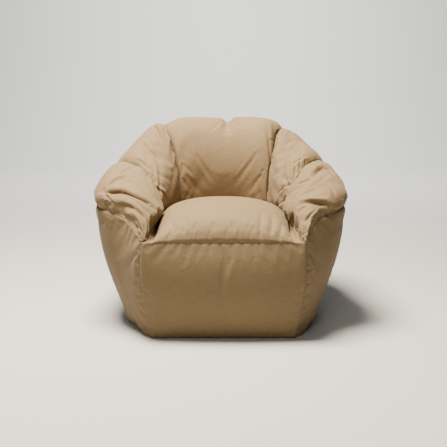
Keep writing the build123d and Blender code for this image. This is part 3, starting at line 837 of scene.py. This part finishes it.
# Pressed in after stuffing, in the same way.
CREASES = {
    "left_arm_panel": [
        (4, 5, 2, 0, [(0.35, 0.2), (0.4, 0.17), (0.46, 0.15), (0.55, 0.13)]),
        (3, 6, 2, 0, [(0.224, 0.32), (0.172, 0.41), (0.112, 0.47), (0.09, 0.54)]),
        (4, 7, 2, 0, [(0.58, 0.16), (0.68, 0.25), (0.77, 0.38), (0.84, 0.56)]),
        (4, 6, 2, 0, [(0.56, 0.29), (0.66, 0.39), (0.72, 0.52), (0.74, 0.66)]),
        (4, 7, 2, 0, [(0.25, 0.4), (0.29, 0.5), (0.35, 0.58), (0.44, 0.66)]),
        (3, 5, 1.5, 0, [(0.1, 0.6), (0.19, 0.64), (0.28, 0.7)]),
    ],
    "right_arm_panel": [
        (4, 6, 2, 0, [(0.8, 0.64), (0.77, 0.56), (0.769, 0.47)]),
        (4, 6, 2, 0, [(0.284, 0.66), (0.299, 0.52), (0.313, 0.4)]),
        (4, 5, 2, 0, [(0.1, 0.12), (0.157, 0.207), (0.26, 0.26)]),
        (4, 5, 2, 0, [(0.134, 0.47), (0.187, 0.362), (0.28, 0.26)]),
        (4, 6, 2, 0, [(0.55, 0.2), (0.62, 0.3), (0.6, 0.42)]),
        (3, 5, 1.5, 0, [(0.92, 0.5), (0.85, 0.56), (0.8, 0.64)]),
    ],
    "left_wing_panel": [
        (5, 6, 3, 0, [(0.2, 0.44), (0.3, 0.5), (0.38, 0.58)]),
        (5, 6, 3, 0, [(0.6, 0.44), (0.66, 0.55), (0.6, 0.65)]),
        (4, 6, 2, 0, [(0.93, 0.46), (0.92, 0.56), (0.9, 0.65)]),
        (4, 5, 2, 0, [(0.97, 0.74), (0.9, 0.8), (0.72, 0.89)]),
        (4, 5, 2, 0, [(0.98, 0.8), (0.95, 0.86), (0.84, 0.93)]),
        (3, 5, 2, 0, [(0.02, 0.5), (0.14, 0.55), (0.24, 0.62)]),
    ],
    "right_wing_panel": [
        (5, 6, 3, 0, [(0.1, 0.47), (0.13, 0.56), (0.21, 0.66)]),
        (4, 6, 2, 0, [(0.46, 0.44), (0.45, 0.55), (0.54, 0.64)]),
        (4, 5, 2, 0, [(0.02, 0.8), (0.12, 0.87), (0.4, 0.94)]),
        (4, 5, 2, 0, [(0.02, 0.72), (0.14, 0.78), (0.34, 0.85)]),
        (4, 5, 2, 0, [(0.85, 0.46), (0.78, 0.54), (0.74, 0.62)]),
    ],
    "back_panel": [
        (2.5, 6, 1, 0, [(0.506, 0.52), (0.549, 0.57), (0.6, 0.61)]),
        (2.5, 6, 1, 0, [(0.451, 0.52), (0.4, 0.56), (0.32, 0.59)]),
    ],
    "front_panel": [
        (3.5, 12, 1, 0, [(0.493, 0.96), (0.507, 0.84), (0.5, 0.67), (0.493, 0.45)]),
    ],
    "seat_panel": [
        (4, 9, 1, 0, [(0.774, 0.22), (0.767, 0.1), (0.753, 0.01)]),
        (4, 8, 1, 0, [(0.856, 0.2), (0.849, 0.1), (0.829, 0.01)]),
        (4, 7, 1, 0, [(0.925, 0.18), (0.915, 0.08), (0.89, 0.01)]),
        (4, 7, 1, 0, [(0.116, 0.16), (0.141, 0.07), (0.14, 0.01)]),
        (3, 8, 1, 0, [(0.225, 0.18), (0.233, 0.08), (0.22, 0.01)]),
    ],
}
# Side of the panel, how many, depth, length, seed, and from where to where along the seam.
GATHERS = {
    "left_arm_panel": [
        ("low", 11, 4.5, 45, 4, 0.25, 0.95),
        ("start", 9, 5, 45, 5, 0.3, 0.95),
        ("high", 6, 5, 35, 6, 0.1, 0.9),
    ],
    "right_arm_panel": [
        ("low", 9, 4.5, 45, 7, 0.05, 0.75),
        ("end", 9, 5, 45, 8, 0.3, 0.95),
        ("high", 6, 5, 35, 9, 0.1, 0.9),
    ],
    "left_wing_panel": [("end", 10, 4.5, 50, 10, 0.4, 0.98), ("start", 7, 4, 35, 11, 0.4, 0.98)],
    "right_wing_panel": [("start", 10, 4.5, 50, 12, 0.4, 0.98), ("end", 7, 4, 35, 13, 0.4, 0.98)],
    "back_panel": [("start", 6, 2.5, 35, 14, 0.4, 0.98), ("end", 6, 2.5, 35, 15, 0.4, 0.98)],
}


class TUB_OT_walls(TubOperator, bpy.types.Operator):
    """Sews the side and rear panels of the lower wall"""

    bl_idname = "tub.walls"
    bl_label = "Wall panels"

    def execute(self, context):
        self.panel("right_side_panel", CORNER, BACK_SEAM, 0.95)
        self.panel("right_rear_panel", BACK_SEAM, MIDDLE, 0.33)
        self.panel("left_rear_panel", MIDDLE, LEFT_BACK_SEAM, 0.33)
        self.panel("left_side_panel", LEFT_BACK_SEAM, LEFT_CORNER, 0.95)
        return {"FINISHED"}

    def panel(self, name, low, high, length):
        """One wall panel, sewn down along its seams."""
        sizes = self.sizes
        columns = self.steps(0.44)
        bearings = np.linspace(low, high, self.steps(length))
        points = wall_grid(sizes, bearings, columns)
        for side, bearing in (("start", low), ("end", high)):
            seam = points[EDGES[side]][0]
            if bearing == MIDDLE:
                seam, reach = self.lip(seam, 1 if side == "end" else -1), 0.04
            else:
                seam = sunk(seam, 0.005, np.repeat(ring(sizes, [bearing]), columns, axis=0))
                reach = 0.022
            if bearing in (CORNER, LEFT_CORNER):
                rise = np.linspace(0, 1, columns)[:, None] ** 8
                seam = seam + rise * (corner_point(sizes, np.sign(seam[0, 0])) - seam[-1])
            points = sew(points, side, seam[None], reach)
        top = waist_seam(sizes, bearings)
        for side, bearing in ((0, low), (-1, high)):
            if bearing in (CORNER, LEFT_CORNER):
                tip = corner_point(sizes, np.sign(top[side, 0]))
                top = top + hump(bearings, bearing, 4)[:, None] * (tip - top[side])
        points = sew(points, "high", top[:, None], 0.03)
        points = stuffed(name, points, growth=0.03, slack=0.006, reach=0.06, pressure=2.0, cap=0.010)
        points[..., 2] = np.maximum(points[..., 2], FLOOR_GAP)
        self.canvas(name, points)

    def lip(self, seam, side):
        """The rear panel's edge: on the wall's own plane, a lip's width from the middle beside the zip."""
        sizes = self.sizes
        z = seam[:, 2]
        beside = 1 / (1 + soft_step(REAR_ZIP[0] - z)) / (1 + soft_step(z - REAR_ZIP[1]))
        y = sizes.rear_y - sizes.wall_lean * (1 - z / sizes.waist_height)
        low = z < CURL
        y[low] = np.minimum(y[low], seam[low, 1])
        return np.stack([side * (SEAM_GAP + (ZIP_LIP - SEAM_GAP) * beside), y, z], axis=1)


def seat_dome(sizes, count):
    """The seat's plan stretched between its four edges, raised by an across share times an along share.

    Across it is a superellipse; along it rises as one from the front seam, then falls away to the back.
    """
    s = np.linspace(0, 1, count)
    sides = []
    for side in (-1, 1):
        run, knots = dome_side(sizes, side)
        sides.append(smooth_through(run, knots, s * run[-1]))
    left, right = sides
    front = left[0] + s[:, None] * (right[0] - left[0])
    values = ring(sizes, 135 - 90 * s)
    back = np.stack([values[:, 0], values[:, 1], values[:, 8]], axis=1)
    u, v = s[:, None, None], s[None, :, None]
    plan = (1 - v) * front[:, None] + v * back[:, None] + (1 - u) * left[None] + u * right[None]
    plan -= (1 - u) * (1 - v) * front[0] + u * (1 - v) * front[-1]
    plan -= u * v * back[-1] + (1 - u) * v * back[0]
    across = (1 - np.abs(2 * s - 1) ** 2.1) ** (1 / 1.7)
    peak = 0.46
    rising = (1 - (1 - np.minimum(s / peak, 1)) ** 2.3) ** (1 / 2.2)
    falling = (1 - np.clip((s - peak) / (1 - peak), 0, 1) ** 2) ** 0.75
    height = across[:, None] * np.where(s < peak, rising, falling)[None, :]
    plan[..., 2] += (sizes.seat_top - plan[..., 2]) * height
    return plan


class TUB_OT_seat(TubOperator, bpy.types.Operator):
    """Sews the domed seat panel and the two gussets beside it"""

    bl_idname = "tub.seat"
    bl_label = "Seat and gussets"

    def execute(self, context):
        points = seat_dome(self.sizes, self.steps(0.56))
        points = stuffed("seat_panel", points, growth=0.020, slack=0.004, reach=0.09, pressure=2.0, cap=0.009)
        for crease in CREASES["seat_panel"]:
            points = fold(points, *crease)
        self.canvas("seat_panel", points)
        self.gusset("right_seat_gusset", 1)
        self.gusset("left_seat_gusset", -1)
        return {"FINISHED"}

    def gusset(self, name, side):
        """A long triangle between the arm's foot and the seat panel's side, sagging across its width."""
        sizes = self.sizes
        share = np.linspace(0, 1, 90)
        bearings = CORNER + 2 + (12 - CORNER - 2) * share
        values = ring(sizes, bearings if side > 0 else 180 - bearings)
        outer = np.stack([values[:, 0], values[:, 1], values[:, 8]], axis=1)
        near = hump(share, 0, 0.07)[:, None]
        outer = outer + near * (corner_point(sizes, side) - outer[0])
        run, knots = dome_side(sizes, side)
        inner = smooth_through(run, knots, share * run[2])
        v = np.linspace(0, 1, 16)[None, :, None]
        points = outer[:, None] * (1 - v) + inner[:, None] * v
        sag = np.sin(math.pi * v[..., 0]) * np.sin(math.pi * np.clip(share, 0.03, 1))[:, None] ** 0.5
        points[..., 2] -= 0.016 * sag
        if side < 0:
            points = points[:, ::-1]
        self.canvas(name, points)


class TUB_OT_front(TubOperator, bpy.types.Operator):
    """Sews the front panel"""

    bl_idname = "tub.front"
    bl_label = "Front panel"

    def execute(self, context):
        sizes = self.sizes
        rows, columns = self.steps(0.52), self.steps(0.36)
        ends = wall_grid(sizes, np.array([CORNER, LEFT_CORNER]), columns)
        rise = np.linspace(0, 1, columns)[:, None] ** 8
        for side, end in ((1, ends[0]), (-1, ends[1])):
            end += rise * (corner_point(sizes, side) - end[-1])
        share = np.linspace(0, 1, rows)[:, None, None]
        points = ends[1:] * (1 - share) + ends[:1] * share
        across, up = np.linspace(0, 1, rows)[:, None], np.linspace(0, 1, columns)[None, :]
        belly = np.sin(math.pi * across) ** 0.6 * np.sin(math.pi * (0.04 + 0.96 * up)) ** 0.8
        points[..., 1] -= 0.020 * belly
        points = stuffed(
            "front_panel", points, growth=0.012, slack=0.004, reach=0.05, pressure=2.0, cap=0.008
        )
        for crease in CREASES["front_panel"]:
            points = fold(points, *crease)
        points[..., 2] = np.maximum(points[..., 2], FLOOR_GAP)
        self.canvas("front_panel", points)
        return {"FINISHED"}


class TUB_OT_base(TubOperator, bpy.types.Operator):
    """Lays the two base panels, one each side of the base zip"""

    bl_idname = "tub.base"
    bl_label = "Base panels"

    def execute(self, context):
        sizes = self.sizes
        zip_y = sizes.front_y + SEAT_ZIP_BEHIND
        bearings = np.linspace(CORNER, LEFT_CORNER, 1201)
        foot = wall_grid(sizes, bearings, 30)[:, 0]
        behind = bearings[foot[:, 1] > zip_y]
        meet, meet_left = behind[0], behind[-1]
        rear = wall_grid(sizes, np.linspace(meet, meet_left, 160), 30)[:, 0]
        right = wall_grid(sizes, np.append(np.linspace(meet, CORNER + 7, 50), CORNER), 30)[:, 0]
        left_bearings = np.append(LEFT_CORNER, np.linspace(LEFT_CORNER - 7, meet_left, 50))
        left = wall_grid(sizes, left_bearings, 30)[:, 0]
        across = np.linspace(0, 1, 62)[1:-1, None]
        front = right[-1] * (1 - across) + left[0] * across
        self.panel("base_rear_panel", rear, zip_y, 1)
        self.panel("base_front_panel", np.concatenate([right, front, left]), zip_y, -1)
        return {"FINISHED"}

    def panel(self, name, outline, zip_y, side):
        """A flat panel ruled from the foot of the walls to its lip of the zip."""
        run = np.concatenate([[0], np.cumsum(np.linalg.norm(np.diff(outline, axis=0), axis=1))])
        x = outline[0, 0] + (outline[-1, 0] - outline[0, 0]) * run / run[-1]
        lip = SEAM_GAP + (ZIP_LIP - SEAM_GAP) / (1 + soft_step(np.abs(x) - SEAT_ZIP_HALF))
        seam = np.stack([x, zip_y + side * lip, np.zeros_like(x)], axis=1)
        outline = outline.copy()
        outline[:, 1] = zip_y + side * np.maximum(side * (outline[:, 1] - zip_y), lip + 0.0003)
        v = np.linspace(0, 1, 40)[None, :, None]
        points = outline[:, None] * (1 - v) + seam[:, None] * v
        points[..., 2] = 0
        if grid_normals(points)[..., 2].mean() > 0:
            points = points[:, ::-1]
        self.canvas(name, points)


class TUB_OT_partitions(TubOperator, bpy.types.Operator):
    """Hangs the seat divider and the four webs between the bead channels"""

    bl_idname = "tub.partitions"
    bl_label = "Divider and webs"

    def execute(self, context):
        sizes = self.sizes
        bearings = np.linspace(CORNER + 3, LEFT_CORNER - 3, 220)
        values = ring(sizes, bearings)
        near = hump(bearings, CORNER, 30) + hump(bearings, LEFT_CORNER, 30)
        x, y = values[:, 0] * (1 - 0.28 * near), values[:, 1] + 0.045 * near
        foot = np.stack([x, y, np.full_like(x, 0.004)], axis=1)
        head = np.stack([values[:, 0] * 1.02, values[:, 1], values[:, 8] - 0.018], axis=1)
        v = np.linspace(0, 1, 46)[None, :, None]
        points = ripple(foot[:, None] * (1 - v) + head[:, None] * v, 0.002, 0.09, 3)
        self.sheet("seat_divider", points, 0.0012)
        names = ("right_arm_web", "right_wing_web", "left_wing_web", "left_arm_web")
        for seed, (name, bearing) in enumerate(zip(names, SEAMS)):
            self.sheet(name, ripple(self.web(bearing), 0.003, 0.08, seed), 0.0012)
        return {"FINISHED"}

    def web(self, bearing):
        """A sheet ruled from the channel seam down to a straight foot."""
        sizes = self.sizes
        bottom = 0.212
        wall = wall_grid(sizes, np.array([bearing]), 60)[0]
        wall = wall[wall[:, 2] > bottom]
        values = np.repeat(ring(sizes, [bearing]), len(wall), axis=0)
        wall = sunk(wall, 0.010, values)
        seam = channel_seam(sizes, bearing, 120)[2:-1]
        inner = np.repeat(seam[-1:], 24, axis=0)
        inner[:, 2] = np.linspace(seam[-1, 2], bottom, 24)
        outline = np.concatenate([wall, seam, inner[1:]])
        share = np.linspace(0, 1, len(outline))[:, None]
        foot = outline[0] * (1 - share) + outline[-1] * share
        foot[:, 2] = bottom
        v = np.linspace(0.004, 1, 50)[None, :, None]
        return outline[:, None] * (1 - v) + foot[:, None] * v

    def sheet(self, name, points, thickness):
        """A finished inner sheet in the place of its CAD node."""
        piece = put_panel(f"{name}_cloth", points, thickness)
        finish_piece(piece, self.finish("partition"), "partition", name)


def chamber(sizes, bearings, ease):
    """Closed loops round the bolster's inside at the bearings, drawn in by the ease, and more at the seams.

    A loop runs up the wall, over the ridge, down the seat side and back along the floor.
    """
    wall = wall_grid(sizes, bearings, 34)
    over = section_grid(sizes, bearings, 60)
    values = ring(sizes, bearings)
    along = unit(values[:, 2:4] - values[:, 0:2])
    out = np.einsum("ijk,ik->ij", wall[..., :2] - values[:, None, 0:2], along)
    tight = out < 0.03
    level = np.where(tight, np.inf, wall[..., 2]).min(axis=1)
    wall[..., 2] = np.where(tight, level[:, None], wall[..., 2])
    wall[..., :2] += (np.maximum(out, 0.03) - out)[..., None] * along[:, None]
    foot = np.concatenate([values[:, 0:2] + 0.004 * along, level[:, None]], axis=1)
    v = np.linspace(0, 1, 24)[None, 1:, None]
    down = over[:, -1:] * (1 - v) + foot[:, None] * v
    w = np.linspace(0, 1, 12)[None, 1:-1, None]
    floor = foot[:, None] * (1 - w) + wall[:, :1] * w
    loop = np.concatenate([wall, over[:, 1:], down, floor], axis=1)
    inset = ease + 1.6 * sizes.furrow * round_over(seam_distance(loop, bearings, SEAMS), FURROW_REACH + 0.04)
    inset += 0.020 * round_over(seam_distance(loop, bearings, (MIDDLE,)), 0.06)
    out = np.einsum("ijk,ik->ij", loop[..., :2] - values[:, None, 0:2], along)
    moved = loop.copy()
    for place, step in ((out, along), (loop[..., 2], None)):
        middle = (place.max(axis=1, keepdims=True) + place.min(axis=1, keepdims=True)) / 2
        half = (place.max(axis=1, keepdims=True) - place.min(axis=1, keepdims=True)) / 2
        change = -(place - middle) * np.minimum(inset / half, 0.85)
        if step is None:
            moved[..., 2] += change
        else:
            moved[..., :2] += change[..., None] * step[:, None]
    moved[..., 2] = np.maximum(moved[..., 2], 0.0045)
    return moved


def seam_distance(loop, bearings, seams):
    """Distance of each point from the nearest of the seams, along its own line round the bolster."""
    run = lengths(loop, 0)
    away = []
    for seam in seams:
        place = np.interp(seam, bearings, np.arange(len(bearings)))
        i = min(int(place), len(bearings) - 2)
        past = (seam - bearings[i]) / (bearings[i + 1] - bearings[i])
        away.append(np.abs(run - run[i] - past * (run[i + 1] - run[i])))
    return np.minimum.reduce(away)


class TUB_OT_beads(TubOperator, bpy.types.Operator):
    """Fills the channels and the seat with beads"""

    bl_idname = "tub.beads"
    bl_label = "Beads"

    def execute(self, context):
        channels = {
            "right_arm_beads": (CORNER + 26, ARM_SEAM - 0.8),
            "right_wing_beads": (ARM_SEAM + 0.8, BACK_SEAM - 0.8),
            "back_beads": (BACK_SEAM + 0.8, LEFT_BACK_SEAM - 0.8),
            "left_wing_beads": (LEFT_BACK_SEAM + 0.8, LEFT_ARM_SEAM - 0.8),
            "left_arm_beads": (LEFT_ARM_SEAM + 0.8, LEFT_CORNER - 26),
        }
        for name, (low, high) in channels.items():
            bearings = np.linspace(low, high, int((high - low) * 1.2))
            loops = chamber(self.sizes, bearings, 0.040)
            self.fill(name, *tube(loops))
        self.fill("seat_beads", *seat_filling(self.sizes, 0.024, 40))
        return {"FINISHED"}

    def fill(self, name, vertices, faces):
        """A finished body of beads in the place of its CAD node."""
        piece = put_mesh(f"{name}_fill", vertices, faces)
        finish_piece(piece, self.finish("beads"), "beads", name)


def seat_filling(sizes, ease, count):
    """The seat's inside: its dome drawn in by the ease, closed by a floor with straight sides."""
    dome = seat_dome(sizes, count)
    middle = np.array([0.0, -0.13, 0.0])
    plan = dome - middle
    plan[..., :2] *= (1 - (ease + 0.004) / np.linalg.norm(plan[..., :2], axis=2, keepdims=True).max())
    top = plan + middle
    top[..., 2] -= ease
    bottom = top.copy()
    bottom[..., 2] = 0.0048
    forward = np.clip((middle[1] - bottom[..., 1]) / 0.28, 0, 1)
    bottom[..., 0] *= 1 - 0.30 * forward
    bottom[..., 1] += 0.055 * forward
    return capped(top, bottom)


class TUB_OT_liners(TubOperator, bpy.types.Operator):
    """Puts in the two liners that hold the beads"""

    bl_idname = "tub.liners"
    bl_label = "Liners"

    def execute(self, context):
        sizes = self.sizes
        stops = np.array([[s - 1.6, s - 0.5, s + 0.5, s + 1.6] for s in SEAMS]).ravel()
        bearings = np.sort(np.concatenate([np.linspace(CORNER + 24, LEFT_CORNER - 24, 150), stops]))
        near = np.abs(bearings[:, None] - np.array(SEAMS)[None, :]).min(axis=1)
        bearings, near = bearings[(near > 1.5) | (near < 0.6)], near[(near > 1.5) | (near < 0.6)]
        loops = chamber(sizes, bearings, 0.033)
        low = near < 0.6
        loops[low, :, 2] = np.minimum(loops[low, :, 2], 0.2)
        self.line("back_liner", *tube(loops))
        self.line("seat_liner", *seat_filling(sizes, 0.016, 40))
        return {"FINISHED"}

    def line(self, name, vertices, faces):
        """A finished liner in the place of its CAD node."""
        piece = put_mesh(f"{name}_cloth", vertices, faces)
        solid = piece.modifiers.new("cloth thickness", "SOLIDIFY")
        solid.thickness, solid.offset = 0.0008, -1
        finish_piece(piece, self.finish("liner"), "liner", name)


class TUB_OT_zips(TubOperator, bpy.types.Operator):
    """Sews in the zips: woven tapes, nylon coils, end stops and closed sliders"""

    bl_idname = "tub.zips"
    bl_label = "Zips"

    def execute(self, context):
        sizes = self.sizes
        slope = math.hypot(sizes.wall_lean, sizes.waist_height)
        up = np.array([0, sizes.wall_lean, sizes.waist_height]) / slope
        out = np.array([0, sizes.waist_height, -sizes.wall_lean]) / slope
        start = np.array([0, sizes.rear_y - sizes.wall_lean, 0]) + 0.045 * up
        self.zip("rear_zip", start, up, out, np.array([1.0, 0, 0]), 0.270, "rear_slider")
        start = np.array([-0.160, sizes.front_y + SEAT_ZIP_BEHIND, 0])
        along, down, across = np.array([1.0, 0, 0]), np.array([0, 0, -1.0]), np.array([0, 1.0, 0])
        self.zip("seat_zip", start, along, down, across, 0.320, "seat_slider")
        return {"FINISHED"}

    def zip(self, name, start, up, out, across, length, slider_body):
        """One zip from its start along up; out points away from the chair."""
        for node_side in ("left", "right"):
            low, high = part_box(f"{name}_tape_{node_side}")
            side = np.sign(np.dot(np.array((low + high) / 2) - start, across))
            self.tape(f"{name}_tape_{node_side}", start, up, out, side * across, length)
            self.coil(f"{name}_coil_{node_side}", start, up, out, side * across, length)
        for part, slot, body in (("slider", "zip_slider", slider_body), ("stops", "zip_coil", "chair")):
            self.rounded(f"{name}_{part}", slot, body)

    def tape(self, node, start, up, out, across, length):
        """A flat ribbon behind the cover's lip, with a slight wave along its free edge."""
        along = np.linspace(-0.008, length + 0.008, 140)[:, None, None]
        wide = np.linspace(0.0035, 0.0155, 14)[None, :, None]
        depth = -0.0021 - 0.0003 * (1 + np.sin(along * 260)) * (wide / 0.0155) ** 3
        points = start + along * up + wide * across + depth * out
        if np.dot(grid_normals(points)[70, 7], out) < 0:
            points = points[:, ::-1]
        piece = put_panel(f"{node}_ribbon", points, 0.0008)
        finish_piece(piece, self.finish("zip_tape"), "zip_tape", node)

    def coil(self, node, start, up, out, across, length):
        """A flattened helix: across and out swing as cosine and sine of the turn; a round wire follows it."""
        turns = int(length / 0.0019)
        turn = np.linspace(0, 2 * math.pi * turns, 11 * turns)
        along = length * turn / turn[-1]
        path = (
            start
            + along[:, None] * up
            + (0.00205 + 0.0011 * np.cos(turn))[:, None] * across
            - (0.0026 + 0.0006 * np.sin(turn))[:, None] * out
        )
        tangent = unit(np.gradient(path, axis=0))
        side = unit(np.cross(tangent, np.broadcast_to(up, tangent.shape)))
        lift = np.cross(side, tangent)
        ring_turn = np.linspace(0, 2 * math.pi, 6)[:-1]
        round_x, round_y = np.cos(ring_turn)[None, :, None], np.sin(ring_turn)[None, :, None]
        loops = path[:, None] + 0.00036 * (round_x * side[:, None] + round_y * lift[:, None])
        piece = put_mesh(f"{node}_helix", *tube(loops))
        finish_piece(piece, self.finish("zip_coil"), "zip_coil", node)

    def rounded(self, node, slot, body):
        """A copy of a small hard CAD part with its doubles merged and its edges rounded."""
        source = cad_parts[node]
        mesh = source.data.copy()
        mesh.name = f"{node}_rounded"
        work = bmesh.new()
        work.from_mesh(mesh)
        bmesh.ops.remove_doubles(work, verts=work.verts, dist=1e-6)
        bmesh.ops.dissolve_limit(work, angle_limit=0.01, verts=work.verts, edges=work.edges)
        work.to_mesh(mesh)
        work.free()
        mesh.materials.clear()
        piece = bpy.data.objects.new(f"{node}_rounded", mesh)
        bpy.context.scene.collection.objects.link(piece)
        bevel = piece.modifiers.new("rounded edges", "BEVEL")
        bevel.width, bevel.segments, bevel.angle_limit = 0.00025, 3, math.radians(40)
        finish_piece(piece, self.finish(slot), slot, node, body=body)


class TUB_OT_care_label(TubOperator, bpy.types.Operator):
    """Sews the blank care label on the rear panel beside its seam"""

    bl_idname = "tub.care_label"
    bl_label = "Care label"

    def execute(self, context):
        panel = SEWN["right_rear_panel"]
        low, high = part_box("care_label")
        target = (np.array(low) + np.array(high)) / 2
        flat = np.linalg.norm(panel - target, axis=2)
        row, column = np.unravel_index(flat.argmin(), flat.shape)
        step_u, step_v = self.sizes.mesh_step, 0.44 / panel.shape[1]
        u = (row + np.linspace(-0.5, 0.5, 26) * 0.030 / step_u) / (panel.shape[0] - 1)
        v = (column + np.linspace(-0.5, 0.5, 34) * 0.046 / step_v) / (panel.shape[1] - 1)
        places = np.meshgrid(np.clip(u, 0, 1), np.clip(v, 0, 1), indexing="ij")
        places = np.stack(places, axis=2).reshape(-1, 2)
        points = sample(panel, places).reshape(26, 34, 3)
        normals = sample(grid_normals(panel), places).reshape(26, 34, 3)
        wave = (1 + 0.3 * np.cos(np.linspace(0, 5, 34)))[None]
        curl = 0.0016 + 0.0045 * np.linspace(0, 1, 26)[:, None] ** 2 * wave
        piece = put_panel("care_label_satin", points + curl[..., None] * unit(normals), 0.0006)
        finish_piece(piece, self.finish("label"), "label", "care_label")
        return {"FINISHED"}


class TUB_OT_stage(TubOperator, bpy.types.Operator):
    """Sets the floor, the lights and the camera"""

    bl_idname = "tub.stage"
    bl_label = "Stage"

    def execute(self, context):
        sizes = self.sizes
        self.sweep()
        self.light("key", (-0.50, -0.28, 2.75), (0, -0.1, 0.3), 1.0, 440.0, (1.0, 0.90, 0.74))
        self.light("fill", (-0.5, -2.8, 1.9), (0, 0, 0.35), 1.2, 24.0, (1.0, 0.95, 0.88))
        self.light("backdrop", (0, 3.6, 4.6), (0, 8, 1.5), 4.0, 1000.0, (1.0, 0.99, 0.97))
        world = bpy.data.worlds.new("studio")
        context.scene.world = world
        world.use_nodes = True
        world.node_tree.nodes["Background"].inputs["Color"].default_value = (1, 0.99, 0.97, 1)
        world.node_tree.nodes["Background"].inputs["Strength"].default_value = 0.08
        camera = bpy.data.objects.new("camera", bpy.data.cameras.new("camera"))
        context.scene.collection.objects.link(camera)
        camera.data.lens = 56.7
        camera.data.sensor_width = 36
        camera.location = (0.0, sizes.front_y - 2.20, 0.785)
        camera.rotation_euler = (math.radians(90 - 10.1), 0, 0)
        context.scene.camera = camera
        return {"FINISHED"}

    def sweep(self):
        """A pale paper sweep: a floor that rises behind the chair along a quarter circle."""
        turn = np.linspace(0, math.pi / 2, 40)
        y = np.concatenate([[-12.0], 5 + 3 * np.sin(turn), [8.0]])
        z = np.concatenate([[0.0], 3 - 3 * np.cos(turn), [14.0]]) - 0.0005
        x = np.array([-22.0, 22.0])
        points = np.stack([np.repeat(x[:, None], len(y), axis=1), np.stack([y, y]), np.stack([z, z])], axis=2)
        floor = put_mesh("floor", points, grid_faces(2, len(y)))
        material, _, shader, _ = new_material("floor_paper")
        shader.inputs["Base Color"].default_value = (0.45, 0.45, 0.445, 1)
        shader.inputs["Roughness"].default_value = 0.9
        floor.data.materials.append(material)

    def light(self, name, place, target, size, power, colour):
        """A square soft box at a place, facing a target."""
        lamp = bpy.data.lights.new(name, "AREA")
        lamp.size, lamp.energy, lamp.color = size, power, colour
        holder = bpy.data.objects.new(name, lamp)
        bpy.context.scene.collection.objects.link(holder)
        away = np.array(place, float) - np.array(target, float)
        flat = math.hypot(away[0], away[1])
        holder.location = place
        holder.rotation_euler = (math.atan2(flat, away[2]), 0, math.atan2(away[1], away[0]) + math.pi / 2)


class TUB_PT_panel(bpy.types.Panel):
    """The chair's sizes, colours and pieces"""

    bl_idname = "TUB_PT_panel"
    bl_label = "Bean bag chair"
    bl_space_type = "VIEW_3D"
    bl_region_type = "UI"
    bl_category = "Bean Bag"

    def draw(self, context):
        for group in (context.scene.tub_sizes, context.scene.tub_look):
            for name in group.__annotations__:
                self.layout.prop(group, name)
        for operator in OPERATORS:
            self.layout.operator(operator.bl_idname)


GROUPS = [TubSizes, TubLook]
OPERATORS = [
    TUB_OT_stage,
    TUB_OT_bolster,
    TUB_OT_walls,
    TUB_OT_front,
    TUB_OT_seat,
    TUB_OT_base,
    TUB_OT_partitions,
    TUB_OT_liners,
    TUB_OT_beads,
    TUB_OT_zips,
    TUB_OT_care_label,
]


def register():
    """Registers the classes and puts the sizes and colours on the scene."""
    for cls in [*GROUPS, *OPERATORS, TUB_PT_panel]:
        bpy.utils.register_class(cls)
    bpy.types.Scene.tub_sizes = PointerProperty(type=TubSizes)
    bpy.types.Scene.tub_look = PointerProperty(type=TubLook)


def unregister():
    """Takes them off again."""
    del bpy.types.Scene.tub_look
    del bpy.types.Scene.tub_sizes
    for cls in reversed([*GROUPS, *OPERATORS, TUB_PT_panel]):
        bpy.utils.unregister_class(cls)


def main():
    """Makes every piece in order."""
    register()
    for operator in OPERATORS:
        getattr(bpy.ops.tub, operator.bl_idname.split(".")[1])()


if __name__ == "__main__":
    main()
